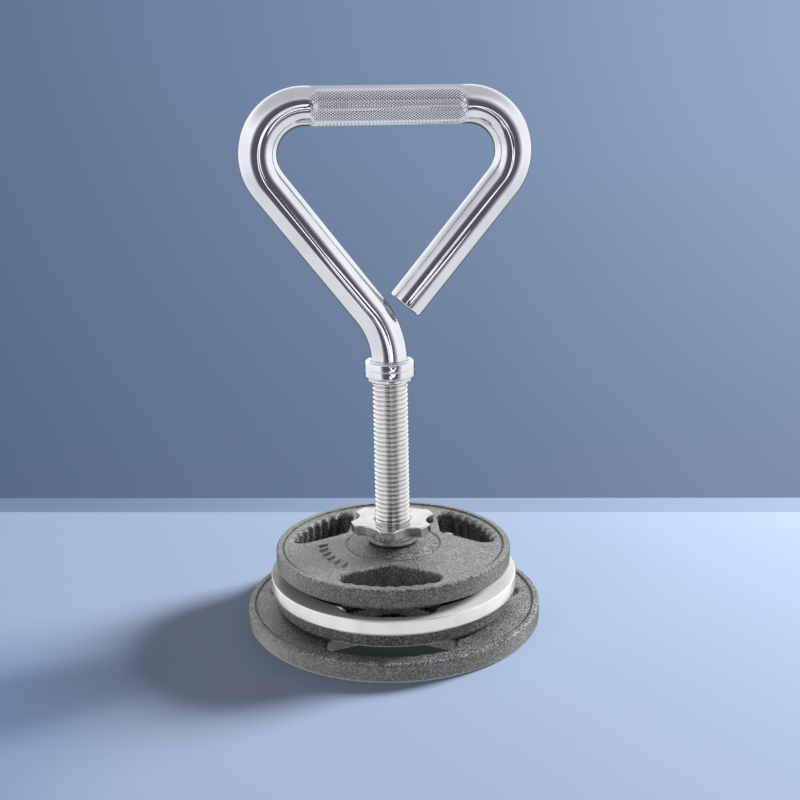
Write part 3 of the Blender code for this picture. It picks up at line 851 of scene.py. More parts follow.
@dataclass
class HandleBar:
    """The bent chrome bar with its knurled grip and its free end."""

    radius: float = 0.0125
    start: float = 0.17845
    bend_start: float = 0.1868
    stem_bend: float = 0.0599
    left_lean: float = math.radians(37.5)
    right_lean: float = math.radians(40.5)
    grip_height: float = 0.35718
    corner: float = 0.031
    grip: float = 0.1084
    right_leg: float = 0.1056
    end_edge: float = 0.0012
    end_parts: int = 5
    sides: int = 84
    knurl_from: float = 0.0010
    knurl_length: float = 0.1056
    knurl_rows: int = 90
    knurl_fade: int = 6
    knurl_depth: float = 0.00048
    knurl_top: float = 0.14

    def ring(self, surface: Surface, place: Place, radius: float) -> list[int]:
        """Add one ring of the bar.

        Args:
            surface: What the ring is added to.
            place: (x, z, heading, run) of its middle.
            radius: Its radius.

        Returns:
            The numbers of its points.
        """
        x, z, heading, run = place
        out = (-math.sin(heading), math.cos(heading))
        turns = [FULL_TURN * side / self.sides for side in range(self.sides)]
        round_it = [(radius * math.cos(turn), radius * math.sin(turn)) for turn in turns]
        points = [(x + out[0] * level, depth, z + out[1] * level) for level, depth in round_it]
        return surface.ring(points, [(run, level, depth) for level, depth in round_it])

    def plain(self, surface: Surface, places: Sequence[Place]) -> list[list[int]]:
        """Add smooth rings and join them.

        Args:
            surface: What they are added to.
            places: The places of their middles.

        Returns:
            The rings.
        """
        rings = [self.ring(surface, place, self.radius) for place in places]
        surface.tube(rings)
        return rings

    def knurl(self, surface: Surface, first: Place, start: list[int]) -> list[int]:
        """Add the knurl: a lattice of crossing grooves with a blunt pyramid in each diamond.

        Args:
            surface: What it is added to.
            first: The place where it starts.
            start: The smooth ring that it starts from.

        Returns:
            The smooth ring that it ends in.
        """
        x, z, heading, run = first
        last = self.knurl_rows
        lattice = [start]
        for row in range(1, last + 1):
            reach = self.knurl_length * row / last
            fade = min(1.0, row / self.knurl_fade, (last - row) / self.knurl_fade)
            place = (x + reach, z, heading, run + reach)
            lattice.append(self.ring(surface, place, self.radius - self.knurl_depth * fade))
        for side in range(1, self.sides, 2):
            for row, inner in ((0, 1), (last, last - 1)):
                centre, edge = lattice[row][side], lattice[inner][side]
                surface.faces.append((centre, lattice[row][side - 1], edge))
                surface.faces.append((centre, edge, lattice[row][(side + 1) % self.sides]))
        for row in range(1, last):
            for side in range(self.sides):
                if (row + side) % 2:
                    self.pyramid(surface, lattice, row, side, first)
        return lattice[-1]

    def pyramid(self, surface: Surface, lattice: list[list[int]], row: int, side: int, first: Place) -> None:
        """Add one blunt pyramid of the knurl between four crossings of the lattice.

        Args:
            surface: What it is added to.
            lattice: The rings of the lattice.
            row: The ring of its middle.
            side: The side of its middle.
            first: The place where the knurl starts.
        """
        x, z, _, run = first
        step = self.knurl_length / self.knurl_rows
        corners: list[int] = []
        top: list[Point] = []
        straight: list[Point] = []
        for ahead, around in ((-1, 0), (0, -1), (1, 0), (0, 1)):
            corners.append(lattice[row + ahead][(side + around) % self.sides])
            reach = (row + ahead * self.knurl_top) * step
            turn = FULL_TURN * (side + around * self.knurl_top) / self.sides
            level, depth = self.radius * math.cos(turn), self.radius * math.sin(turn)
            top.append((x + reach, depth, z + level))
            straight.append((run + reach, level, depth))
        blunt = surface.ring(top, straight)
        surface.cap(blunt)
        surface.bridge(corners, blunt)

    def sides_of_grip(self) -> tuple[list[Place], list[Place]]:
        """Walk along the bar.

        Returns:
            The places of the smooth bar before the knurl and after it.
        """
        line = BarLine(0.0, self.start)
        line.mark()
        line.ahead(self.bend_start - self.start)
        line.bend(self.stem_bend, self.left_lean)
        rise = self.grip_height - self.corner - self.corner * math.sin(self.left_lean) - line.z
        line.ahead(rise / math.cos(self.left_lean))
        line.bend(self.corner, -QUARTER_TURN - self.left_lean)
        line.ahead(self.knurl_from)
        before = list(line.points)
        line.x += self.knurl_length
        line.run += self.knurl_length
        line.points.clear()
        line.ahead(self.grip - self.knurl_from - self.knurl_length)
        line.bend(self.corner, -QUARTER_TURN - self.right_lean)
        line.ahead(self.right_leg - self.end_edge)
        return before, list(line.points)

    def build(self) -> Object:
        """Build the bar from the joint under the collar to the free end.

        Returns:
            The piece.
        """
        surface = Surface()
        before, after = self.sides_of_grip()
        rings = self.plain(surface, before)
        surface.cap(rings[0])
        end = self.knurl(surface, before[-1], rings[-1])
        rings = self.plain(surface, after)
        surface.bridge(end, rings[0])
        line = BarLine(*after[-1])
        line.ahead(self.end_edge, self.end_edge / self.end_parts)
        edge = [rings[-1]]
        for part, place in enumerate(line.points, 1):
            inset = self.end_edge * (1 - math.sqrt(1 - (part / self.end_parts) ** 2))
            edge.append(self.ring(surface, place, self.radius - inset))
        surface.tube(edge)
        surface.cap(edge[-1])
        return surface.piece("chromed_handle_bar", sharp=20.0)


@dataclass
class CollarRing:
    """The ring over the joint of bar and stem: a bevelled foot, a wall and a domed top."""

    bore: float = 0.0128
    bottom: float = 0.1748
    foot_radius: float = 0.0156
    foot_height: float = 0.0024
    foot_flare: float = 0.0002
    foot_slope: Flat = (0.0004, 0.0006)
    radius: float = 0.0173
    wall_top: float = 0.1838
    seam: float = 0.1828
    seam_depth: float = 0.0004
    dome: float = 0.0050
    dome_foot: float = 0.0002
    bore_edge: float = 0.0008
    steps: int = 128

    def build(self) -> Object:
        """Build the collar.

        Returns:
            The piece.
        """
        top = self.wall_top + self.dome
        foot_top = self.bottom + self.foot_height
        corners = [
            (self.bore, self.bottom, 0.0),
            (self.foot_radius, self.bottom, 0.0006),
            (self.foot_radius + self.foot_flare, foot_top - self.foot_slope[0], 0.0005),
            (self.radius, foot_top + self.foot_slope[1], 0.0012),
            (self.radius, self.seam - self.seam_depth, 0.0005),
            (self.radius - self.seam_depth, self.seam, 0.0002),
            (self.radius, self.seam + self.seam_depth, 0.0005),
            (self.radius, top - self.dome_foot, 0.0034),
            (self.bore + self.bore_edge, top, 0.0006),
            (self.bore, top - self.bore_edge, 0.0),
        ]
        surface = Surface()
        surface.turn(rounded(corners, steps=9), self.steps, closed=True)
        return surface.piece("joint_collar")


# Thread, nut and ring.


@dataclass(frozen=True)
class ScrewThread:
    """A right-handed rolled thread. Its roots lie at whole pitches above Z = 0 on the +X side."""

    crest: float = 0.0125
    depth: float = 0.0014
    pitch: float = 0.00325
    flank: Flat = (0.16, 0.96)
    columns: int = 84
    rows: int = 14

    def radius(self, height: float, turn: float) -> float:
        """The radius of the thread at a height and an angle about the stem."""
        from_crest = abs((height / self.pitch - turn / FULL_TURN) % 1.0 - 0.5) * 2
        return self.crest - self.depth * between(*self.flank, from_crest)

    def wind(
        self, surface: Surface, bottom: float, top: float, trim: Callable[[float, float], float]
    ) -> None:
        """Add the surface of the thread, with its rows along the helix.

        Args:
            surface: What it is added to.
            bottom: Its lowest height.
            top: Its highest height.
            trim: Gives the final radius from a height and the thread's own radius there.
        """
        first = math.floor(bottom / self.pitch) - 1
        last = math.ceil(top / self.pitch) + 1
        count = (last - first) * self.rows
        columns: list[list[int]] = []
        for column in range(self.columns):
            turn = FULL_TURN * column / self.columns
            points: list[Point] = []
            for row in range(count + 1):
                height = self.pitch * (first + row / self.rows + turn / FULL_TURN)
                radius = trim(height, self.radius(height, turn))
                points.append((radius * math.cos(turn), radius * math.sin(turn), height))
            columns.append(surface.ring(points))
        for column, here in enumerate(columns):
            beside = columns[(column + 1) % self.columns]
            shift = self.rows if column == self.columns - 1 else 0
            for row in range(count - shift):
                surface.faces.append((here[row], beside[row + shift], beside[row + 1 + shift], here[row + 1]))


@dataclass
class ThreadedStem:
    """The chromed stem with its thread from the end washer up into the collar."""

    thread: ScrewThread = field(default_factory=ScrewThread)
    bottom: float = 0.0035
    top: float = 0.17815
    end_edge: float = 0.0014

    def trim(self, height: float, radius: float) -> float:
        """Narrow the thread at its chamfered lower end."""
        return min(radius, self.thread.crest - self.end_edge + max(0.0, height - self.bottom))

    def build(self) -> Object:
        """Build the stem.

        Returns:
            The piece.
        """
        surface = Surface()
        self.thread.wind(surface, self.bottom, self.top, self.trim)
        obj = surface.piece("threaded_stem_bar", sharp=60.0)
        cut_level(obj, [(self.top, 1), (self.bottom, -1)], fill=True)
        return obj


@dataclass
class StarNut:
    """The star nut: six square lobes with hollows between them, on a round hub."""

    bottom: float = 0.0577
    star_bottom: float = 0.0659
    top: float = 0.0734
    radius: float = 0.030
    hollow: float = 0.0242
    hollow_steps: int = 18
    lobes: int = 6
    lobe_width: float = 0.0108
    lobe_steps: int = 8
    hub: float = 0.0179
    edge: float = 0.0009
    edge_steps: int = 4
    sharpest: float = 0.5
    azimuth: float = math.radians(-109.8)
    play: float = 0.00045
    mouth: float = 0.0012
    thread: ScrewThread = field(default_factory=ScrewThread)

    @property
    def mouth_radius(self) -> float:
        """The radius of the countersunk ends of the bore."""
        return self.thread.crest + self.play + self.mouth

    def outline(self) -> list[Flat]:
        """Draw the star from above.

        Returns:
            The end of each lobe, then the hollow beside it.
        """
        half_lobe = math.asin(self.lobe_width / 2 / self.radius)
        half_gap = math.pi / self.lobes - half_lobe
        side, reach = self.radius * math.sin(half_gap), self.radius * math.cos(half_gap)
        depth = reach - self.hollow
        curve = (side**2 + depth**2) / (2 * depth)
        sweep = math.asin(side / curve)
        sweep = math.pi - sweep if depth > curve else sweep
        centre = (0.0, self.hollow + curve)
        hollow = arc(centre, curve, -QUARTER_TURN + sweep, -QUARTER_TURN - sweep, self.hollow_steps)
        start = QUARTER_TURN + half_gap
        lobe = arc((0.0, 0.0), self.radius, start, start + 2 * half_lobe, self.lobe_steps)
        points: list[Flat] = []
        for number in range(self.lobes):
            turn = self.azimuth - QUARTER_TURN + (2 * number + 1) * math.pi / self.lobes
            points += turned_flat(hollow + lobe[1:-1], turn)
        return points

    def inset(self, outline: list[Flat], depth: float) -> list[Flat]:
        """Move an outline inwards, its corners along their bisector.

        Args:
            outline: The points of the outline.
            depth: How far it moves.

        Returns:
            The moved points.
        """
        found: list[Flat] = []
        for i, here in enumerate(outline):
            back = Vector(here) - Vector(outline[i - 1])
            ahead = Vector(outline[(i + 1) % len(outline)]) - Vector(here)
            first = Vector((-back.y, back.x)).normalized()
            second = Vector((-ahead.y, ahead.x)).normalized()
            inward = (first + second).normalized()
            length = depth / max(self.sharpest, inward.dot(first))
            found.append((here[0] + inward.x * length, here[1] + inward.y * length))
        return found

    def build(self) -> Object:
        """Build the nut with its internal thread.

        Returns:
            The piece.
        """
        surface = Surface()
        outline = self.outline()
        turns = [QUARTER_TURN * step / self.edge_steps for step in range(self.edge_steps + 1)]
        profile = [(1 - math.sin(t), self.star_bottom + self.edge * (1 - math.cos(t))) for t in turns]
        profile += [(1 - math.cos(t), self.top - self.edge * (1 - math.sin(t))) for t in turns]
        rings: list[list[int]] = []
        for share, height in profile:
            rings.append(surface.ring((x, y, height) for x, y in self.inset(outline, self.edge * share)))
        surface.tube(rings)
        hub = [
            (self.hub, self.star_bottom, 0.0),
            (self.hub, self.bottom, self.edge),
            (self.mouth_radius, self.bottom, 0.0),
        ]
        hub_rings = surface.turn(rounded(hub), self.thread.columns)
        mouth = surface.circle(self.mouth_radius, self.top, self.thread.columns)
        surface.level([rings[0], hub_rings[0]])
        surface.level([rings[-1], mouth])
        nut = surface.piece("star_nut_body", sharp=28.0, weighted=True)
        join_meshes(nut, self.threaded_bore())
        return nut

    def trim_bore(self, height: float, radius: float) -> float:
        """Widen the bore towards its ends."""
        end = min(height - self.bottom, self.top - height)
        return max(radius + self.play, self.mouth_radius - max(0.0, end))

    def threaded_bore(self) -> Object:
        """Build the threaded bore with its two countersinks.

        Returns:
            The piece, which goes into the nut.
        """
        surface = Surface()
        self.thread.wind(surface, self.bottom, self.top, self.trim_bore)
        bore = surface.piece("nut_bore")
        cut_level(bore, [(self.top, 1), (self.bottom, -1)], fill=False)
        return bore


@dataclass
class SealRing:
    """The rubber ring under the star nut."""

    outer: float = 0.0174
    width: float = 0.0032
    bottom: float = 0.0560
    top: float = 0.0574
    edge: float = 0.0005
    seam: float = 0.00001
    steps: int = 96

    def build(self) -> Object:
        """Build the ring, with the seam of its profile on the inside.

        Returns:
            The piece.
        """
        inner = self.outer - self.width
        middle = (self.bottom + self.top) / 2
        corners = [
            (inner, middle, 0.0),
            (inner, self.top, self.edge),
            (self.outer, self.top, self.edge),
            (self.outer, self.bottom, self.edge),
            (inner, self.bottom, self.edge),
            (inner, middle - self.seam, 0.0),
        ]
        surface = Surface()
        surface.turn(rounded(corners), self.steps, closed=True)
        return surface.piece("nut_rubber_ring")


# Weight plates.


@dataclass(frozen=True)
class HandHole:
    """A wide hand hole: two sloping sides from a round apex and a ribbed arc outside.

    It points along +Y until it is turned, so Y is the distance from the stem.
    """

    apex: float
    outer: float
    corner: float
    slope: float = math.radians(26.0)
    apex_fillet: float = 0.012
    apex_steps: int = 14
    side_steps: int = 12
    corner_steps: int = 16
    ribs: int = 7
    rib_steps: int = 16
    rib_depth: float = 0.0020
    rib_flare: float = 0.62
    side_width: float = 0.0017
    side_drop: float = 0.0018
    grip_width: float = 0.0046
    grip_drop: float = 0.0036
    drop_steps: int = 8
    foot: float = 0.0004
    skirt_width: float = 0.0022

    def outline(self) -> list[HolePoint]:
        """Walk round the hole.

        Returns:
            (x, y, normal x, normal y, rib, grip) of each point. The normal points into the plate, rib is how
            far the rib stands in there, and grip goes from 0 on the sides to 1 on the ribbed arc.
        """
        fillet = self.apex_fillet
        apex: list[HolePoint] = []
        ends = (-QUARTER_TURN - self.slope, -QUARTER_TURN + self.slope)
        for x, y in arc((0.0, 0.0), 1.0, *ends, self.apex_steps):
            apex.append((fillet * x, self.apex + fillet + fillet * y, x, y, 0.0, 0.0))
        right = self.right_side(apex[-1][:2])
        left = [(-x, y, -u, v, rib, grip) for x, y, u, v, rib, grip in reversed(right)]
        angle = math.atan2(right[-1][1], right[-1][0])
        steps = self.ribs * self.rib_steps
        ribbed: list[HolePoint] = []
        for step in range(1, steps):
            turn = angle + (math.pi - 2 * angle) * step / steps
            rib = self.rib_depth * (0.5 - 0.5 * math.cos(FULL_TURN * self.ribs * step / steps))
            x, y = math.cos(turn), math.sin(turn)
            ribbed.append((self.outer * x, self.outer * y, x, y, rib, 1.0))
        return apex + right + ribbed + left

    def right_side(self, start: Flat) -> list[HolePoint]:
        """Walk along the straight side and the rounded corner on the right.

        Args:
            start: The end of the apex.

        Returns:
            The points up to the ribbed arc.
        """
        cosine, sine = math.cos(self.slope), math.sin(self.slope)
        inside = (start[0] - self.corner * sine, start[1] + self.corner * cosine)
        along = inside[0] * cosine + inside[1] * sine
        beyond = inside[0] ** 2 + inside[1] ** 2 - (self.outer - self.corner) ** 2
        reach = math.sqrt(along**2 - beyond) - along
        centre = (inside[0] + reach * cosine, inside[1] + reach * sine)
        polar = math.atan2(centre[1], centre[0])
        found: list[HolePoint] = []
        for step in range(1, self.side_steps):
            share = reach * step / self.side_steps
            found.append((start[0] + share * cosine, start[1] + share * sine, sine, -cosine, 0.0, 0.0))
        rounding = arc((0.0, 0.0), 1.0, self.slope - QUARTER_TURN, polar, self.corner_steps)
        for step, (x, y) in enumerate(rounding):
            grip = between(0.0, 1.0, step / self.corner_steps)
            found.append((centre[0] + self.corner * x, centre[1] + self.corner * y, x, y, 0.0, grip))
        return found

    def rings(self, face: float, underside: float, skirt: float) -> list[list[Point]]:
        """Draw the hole's wall.

        Args:
            face: The height of the plate's upper face.
            underside: The height of its underside.
            skirt: How far the wall hangs below the underside.

        Returns:
            The rings from the upper face down, and up again outside the skirt to the underside.
        """
        outline = self.outline()
        found: list[list[Point]] = []
        for step in range(self.drop_steps + 1):
            turn = QUARTER_TURN * (1 - step / self.drop_steps)
            ring: list[Point] = []
            for x, y, u, v, rib, grip in outline:
                width = self.side_width + (self.grip_width - self.side_width) * grip
                drop = self.side_drop + (self.grip_drop - self.side_drop) * grip
                out = width * (1 - math.cos(turn)) - rib * max(self.rib_flare, math.cos(turn) ** 0.5)
                ring.append((x + u * out, y + v * out, face - drop * (1 - math.sin(turn))))
            found.append(ring)
        low = underside - skirt
        levels = [(low + self.foot, 0.0, 1), (low, self.foot, 1)]
        if skirt:
            levels += [(low, self.skirt_width, 0), (underside, self.skirt_width, 0)]
        for height, width, ribbed in levels:
            ring = []
            for x, y, u, v, rib, _ in outline:
                out = width - rib * ribbed
                ring.append((x + u * out, y + v * out, height))
            found.append(ring)
        return found


@dataclass(frozen=True)
class RaisedBar:
    """A generic raised bar on a plate's face.

    Its section gives, from the foot up, how far each ring stands out and its share of the height.
    """

    azimuth: float
    distance: float = 0.0502
    length: float = 0.0072
    width: float = 0.0022
    slant: float = math.radians(24.0)
    height: float = 0.0010
    end_steps: int = 8
    section: tuple[Flat, ...] = (
        (0.00040, 0.0),
        (0.00014, 0.10),
        (0.0, 0.5),
        (-0.00008, 0.88),
        (-0.00030, 1.0),
    )

    def rings(self, face: float) -> list[list[Point]]:
        """Draw the bar.

        Args:
            face: The height of the plate's face.

        Returns:
            The rings from the face up to the flat top.
        """
        bulge = self.width / 2
        straight = self.length / 2 - bulge
        ends = arc((straight, 0.0), bulge, -QUARTER_TURN, QUARTER_TURN, self.end_steps)
        outline = ends + [(-x, -y) for x, y in ends]
        found: list[list[Point]] = []
        for out, rise in self.section:
            grown = 1 + out / bulge
            flat = [(x + (grown - 1) * (x - math.copysign(straight, x)), y * grown) for x, y in outline]
            spots = [(x + self.distance, y) for x, y in turned_flat(flat, self.slant)]
            height = face + self.height * rise
            found.append([(x, y, height) for x, y in turned_flat(spots, self.azimuth)])
        return found


@dataclass
class WeightPlate:
    """A cast plate with a rim, a web with three hand holes, and a hub."""

    name: str
    node: str
    radius: float
    rim_bottom: float
    rim_top: float
    hub_bottom: float
    hub_top: float
    web_bottom: float
    hole: HandHole
    hub_radius: float = 0.0322
    face_drop: float = 0.0
    lip_width: float = 0.0042
    rim_width: float = 0.0095
    edge: float = 0.0018
    foot_edge: float = 0.0018
    cone_radius: float = 0.0
    skirt: float = 0.0
    moat: float = 0.0
    moat_round_hub: tuple[float, ...] = (0.0022, 0.0016, 0.0009, 0.0003)
    moat_inside_lip: tuple[float, ...] = (0.0015, 0.0012, 0.0007, 0.0)
    moat_roundings: tuple[float, ...] = (0.0003, 0.0003, 0.0003, 0.0004)
    web_margin: float = 0.0030
    recess_radius: float = 0.0
    bore: float = 0.014
    azimuth: float = math.radians(-103.5)
    holes: int = 3
    bars: tuple[RaisedBar, ...] = ()
    steps: int = 192

    @property
    def face(self) -> float:
        """The height of the face between hub and lip."""
        return self.rim_top - self.face_drop

    def moat_line(self, radii: Iterable[float], end: float) -> list[Corner]:
        """Draw the narrow moat along a raised part of the plate.

        Args:
            radii: The radii of its corners, towards the raised part.
            end: The height of the last corner.

        Returns:
            Its corners.
        """
        bottom = self.face - self.moat
        return list(zip(radii, (self.face, bottom, bottom, end), self.moat_roundings))

    def hub_profile(self) -> list[Flat]:
        """Draw the middle of the plate.

        Returns:
            The line from the face inwards over the hub, down the bore and out to the web's underside.
        """
        hub, face, top = self.hub_radius, self.face, self.hub_top
        line: list[Corner] = [(hub + self.web_margin, face, 0.0)]
        if self.cone_radius:
            line += self.moat_line((hub + out for out in self.moat_round_hub), face)
            line.append((self.cone_radius, top, 0.0012))
        elif top > face:
            line += [(hub + 0.0004, face, 0.0005), (hub - 0.0002, top, 0.0006)]
        line += [(self.bore, top, 0.0007), (self.bore, self.hub_bottom, 0.0005)]
        if self.recess_radius:
            line += [
                (self.recess_radius, self.hub_bottom, 0.0010),
                (self.recess_radius, self.web_bottom, 0.0008),
                (self.recess_radius + 0.0020, self.web_bottom, 0.0),
            ]
        else:
            line += [
                (hub, self.hub_bottom, 0.0008),
                (hub + 0.0008, self.web_bottom, 0.0008),
                (hub + self.web_margin, self.web_bottom, 0.0),
            ]
        return rounded(line)

    def rim_profile(self) -> list[Flat]:
        """Draw the rim.

        Returns:
            The line from the face outwards over the lip and the wall and back to the web's underside.
        """
        web = self.radius - self.rim_width
        if self.face_drop:
            lip = self.radius - self.lip_width
            line: list[Corner] = [(lip - 0.0017, self.face, 0.0)]
            line += self.moat_line((lip - inside for inside in self.moat_inside_lip), self.rim_top)
        else:
            line = [(self.radius - self.edge - 0.0004, self.rim_top, 0.0)]
        line += [
            (self.radius, self.rim_top, self.edge),
            (self.radius, self.rim_bottom, self.foot_edge),
            (web, self.rim_bottom, 0.0010),
            (web, self.web_bottom, 0.0),
        ]
        return rounded(line, steps=7)

    def build(self) -> Object:
        """Build the plate.

        Returns:
            The piece.
        """
        surface = Surface()
        hub = surface.turn(self.hub_profile(), self.steps)
        rim = surface.turn(self.rim_profile(), self.steps)
        above = [hub[0], rim[0]]
        below = [hub[-1], rim[-1]]
        for number in range(self.holes):
            turn = self.azimuth - QUARTER_TURN + FULL_TURN * number / self.holes
            rings: list[list[int]] = []
            for ring in self.hole.rings(self.face, self.web_bottom, self.skirt):
                flat = turned_flat([(x, y) for x, y, _ in ring], turn)
                rings.append(surface.ring((*spot, point[2]) for spot, point in zip(flat, ring)))
            surface.tube(rings)
            above.append(rings[0])
            below.append(rings[-1])
        for bar in self.bars:
            rings = [surface.ring(ring) for ring in bar.rings(self.face)]
            surface.tube(rings)
            surface.cap(rings[-1])
            above.append(rings[0])
        surface.level(above)
        surface.level(below)
        return surface.piece(self.name, sharp=34.0, weighted=True)


# Studio.


@dataclass(frozen=True)
class SoftLamp:
    """A square soft light that metal doesn't show.

    The floor is painted darker round its foot as shade against the lamp's own pool of light, so that it
    doesn't burn out where other views see it: by the whole share within the first distance, and not at all
    beyond the second.
    """

    name: str
    place: Point
    aim: Point
    size: float
    power: float
    # Distances of the painted shade round the lamp's foot, and its share.
    painted_foot_shade: Flat
    painted_foot_shade_share: float

    def build(self) -> None:
        """Add the light."""
        data = bpy.data.lights.new(self.name, "AREA")
        data.size = self.size
        data.energy = self.power
        obj = bpy.data.objects.new(self.name, data)
        obj.location = self.place
        obj.rotation_euler = (Vector(self.aim) - Vector(self.place)).to_track_quat("-Z", "Y").to_euler()
        obj.visible_glossy = False
        bpy.context.scene.collection.objects.link(obj)


@dataclass(frozen=True)
class TableFinish:
    """Pale blue with painted light and shade: its colour from left to right is set against the lamps'
    fall-off, a painted shadow darkens the front on the left, painted shade lies round the lamps' feet and
    under the base plate, and the strip along the far edge is darker.

    It is clear for a camera below it, which then sees the underside of the object.
    """

    name: str
    away: Flat
    strip_start: float
    lamps: tuple[SoftLamp, ...]
    sides: Flat = (-0.35, 0.45)
    colours: tuple[tuple[float, Colour], ...] = (
        (0.0, (0.51, 0.66, 0.92)),
        (0.3, (0.50, 0.63, 0.87)),
        (0.55, (0.49, 0.61, 0.84)),
        (1.0, (0.52, 0.64, 0.86)),
    )
    # Painted shadow: the floor darker towards the front on the left, with a darker band through it.
    corner: Colour = (0.18, 0.30, 0.58)
    painted_shadow_side: Flat = (-0.12, -0.23)
    front: Flat = (0.0, -0.10)
    painted_shadow_front_share: float = 0.42
    shadow_band_far: Flat = (-0.05, -0.12)
    shadow_band_near: Flat = (-0.20, -0.13)
    shadow_band_share: float = 0.20
    strip: Colour = (0.13, 0.20, 0.34)
    strip_blur: float = 0.0015
    strip_side: Flat = (-0.35, 0.05)
    strip_share: Flat = (0.67, 0.38)
    # Painted shade round the lamps' feet.
    painted_foot_shade: Colour = (0.02, 0.025, 0.035)
    # Painted shadow on the floor under the base plate.
    shaded: Colour = (0.19, 0.30, 0.24)
    shaded_radius: Flat = (0.083, 0.093)
    shaded_share: float = 0.86
    roughness: float = 0.6
    specular: float = 0.1

    def painted_shadow_share(self, graph: Graph, across: Socket, depth: Socket) -> Socket:
        """Find how much the painted shadow's colour takes over towards the front on the left.

        Args:
            graph: The material's graph.
            across: The place from left to right.
            depth: The place from front to back.

        Returns:
            The share of the painted shadow's colour.
        """
        band = graph.span(depth, *self.shadow_band_near, 0.0, self.shadow_band_share)
        band = graph.math("MULTIPLY", graph.span(depth, *self.shadow_band_far), band)
        front = graph.math("ADD", graph.span(depth, *self.front, 0.0, self.painted_shadow_front_share), band)
        return graph.math("MULTIPLY", graph.span(across, *self.painted_shadow_side), front)

    def material(self) -> Material:
        """Build the material.

        Returns:
            The material.
        """
        material, graph, shader = new_material(self.name)
        place = graph.place()
        across = graph.dot(place, (*turned_flat([self.away], -QUARTER_TURN)[0], 0.0))
        depth = graph.dot(place, (*self.away, 0.0))
        # The colour from left to right is painted light, set against the fall-off of the lamps' light.
        colour = graph.ramp(graph.span(across, *self.sides, steps="LINEAR"), self.colours)
        # Painted shadow towards the front on the left.
        colour = graph.blend(self.painted_shadow_share(graph, across, depth), colour, self.corner)
        # The strip along the far edge is a darker band of the table; its larger share on the left is painted
        # shade.
        strip = graph.span(depth, self.strip_start - self.strip_blur, self.strip_start + self.strip_blur)
        strip = graph.math("MULTIPLY", strip, graph.span(across, *self.strip_side, *self.strip_share))
        colour = graph.blend(strip, colour, self.strip)
        # Painted shade round each lamp's foot, against the lamp's pool of light.
        for lamp in self.lamps:
            away = graph.vector("DISTANCE", place, (*lamp.place[:2], 0.0))
            painted_foot_shade = graph.span(away, *lamp.painted_foot_shade, lamp.painted_foot_shade_share, 0.0, steps="LINEAR")
            colour = graph.blend(painted_foot_shade, colour, self.painted_foot_shade)
        # Painted shadow on the floor under the base plate, which a hand hole shows.
        under = graph.span(graph.vector("LENGTH", place), *self.shaded_radius, self.shaded_share, 0.0)
        graph.feed(
            shader,
            Base_Color=graph.blend(under, colour, self.shaded),
            Roughness=self.roughness,
            Specular_IOR_Level=self.specular,
        )
        camera = graph.node("LightPath").outputs["Is Camera Ray"]
        from_below = graph.math("MULTIPLY", camera, graph.node("NewGeometry").outputs["Backfacing"])
        clear = graph.node("BsdfTransparent").outputs[0]
        seen = graph.mixed(from_below, shader.outputs[0], clear)
        graph.feed(graph.tree.nodes["Material Output"], Surface=seen)
        return material


@dataclass(frozen=True)
class Table:
    """The pale table top, with a slightly darker strip along its far edge."""

    away: Flat = (0.2533, 0.9674)
    strip_start: float = 0.2041
    strip_end: float = 0.2416
    reach: float = 8.0

    def build(self, lamps: tuple[SoftLamp, ...]) -> None:
        """Build the table.

        Args:
            lamps: The lamps that stand on it.
        """
        normal = Vector((*self.away, 0.0)).normalized()
        along = Vector((normal.y, -normal.x, 0.0))
        surface = Surface()
        rows: list[list[int]] = []
        for depth in (-self.reach, 0.0, self.strip_end):
            sides = (-self.reach, self.reach)
            rows.append(surface.ring(tuple(normal * depth + along * side) for side in sides))
        surface.strip(rows)
        top = surface.piece("table_top")
        top.data.materials.append(TableFinish("table", self.away, self.strip_start, lamps).material())
        top.visible_glossy = False


def show_in_metal_only(obj: Object, glow: Material) -> None:
    """Let a glowing object of the studio be seen in reflections and nowhere else.

    Args:
        obj: The object.
        glow: Its material.
    """
    obj.data.materials.append(glow)
    for ray in ("camera", "diffuse", "transmission", "shadow"):
        setattr(obj, f"visible_{ray}", False)


@dataclass(frozen=True)
class CameraCard:
    """The dark card round the lens, which chrome shows as its dark band."""

    offset: Point = (-0.01, 0.0, -0.07)
    radii: tuple[float, ...] = (0.004, 0.1, 0.3, 0.5, 0.7, 0.86)
    sides: int = 48
    foot: float = -0.22
    edge: Flat = (0.46, 0.84)
    edge_glow: Flat = (0.088, 0.78)
    lens: Flat = (0.0, 0.3)
    lens_glow: float = 0.03

    def build(self, eye: Point) -> None:
        """Build the card.

        Args:
            eye: The place of the lens.
        """
        middle = Vector(eye) + Vector(self.offset)
        turns = [FULL_TURN * side / self.sides for side in range(self.sides)]
        surface = Surface()
        rings: list[list[int]] = []
        for radius in self.radii:
            spots = [(middle.x + radius * math.cos(t), middle.z + radius * math.sin(t)) for t in turns]
            rings.append(surface.ring((x, middle.y, max(self.foot, z)) for x, z in spots))
        surface.tube(rings)
        surface.cap(rings[0])

        def grey(graph: Graph) -> Socket:
            """Make the card darkest round the lens, with a soft edge.

            Args:
                graph: The material's graph.

            Returns:
                The strength of its glow.
            """
            away = graph.vector("DISTANCE", graph.node("NewGeometry").outputs["Position"], tuple(middle))
            edge = graph.span(away, *self.edge, *self.edge_glow)
            return graph.math("ADD", edge, graph.span(away, *self.lens, 0.0, self.lens_glow))

        show_in_metal_only(surface.piece("camera_card"), GlowFinish("camera_card").material(grey))


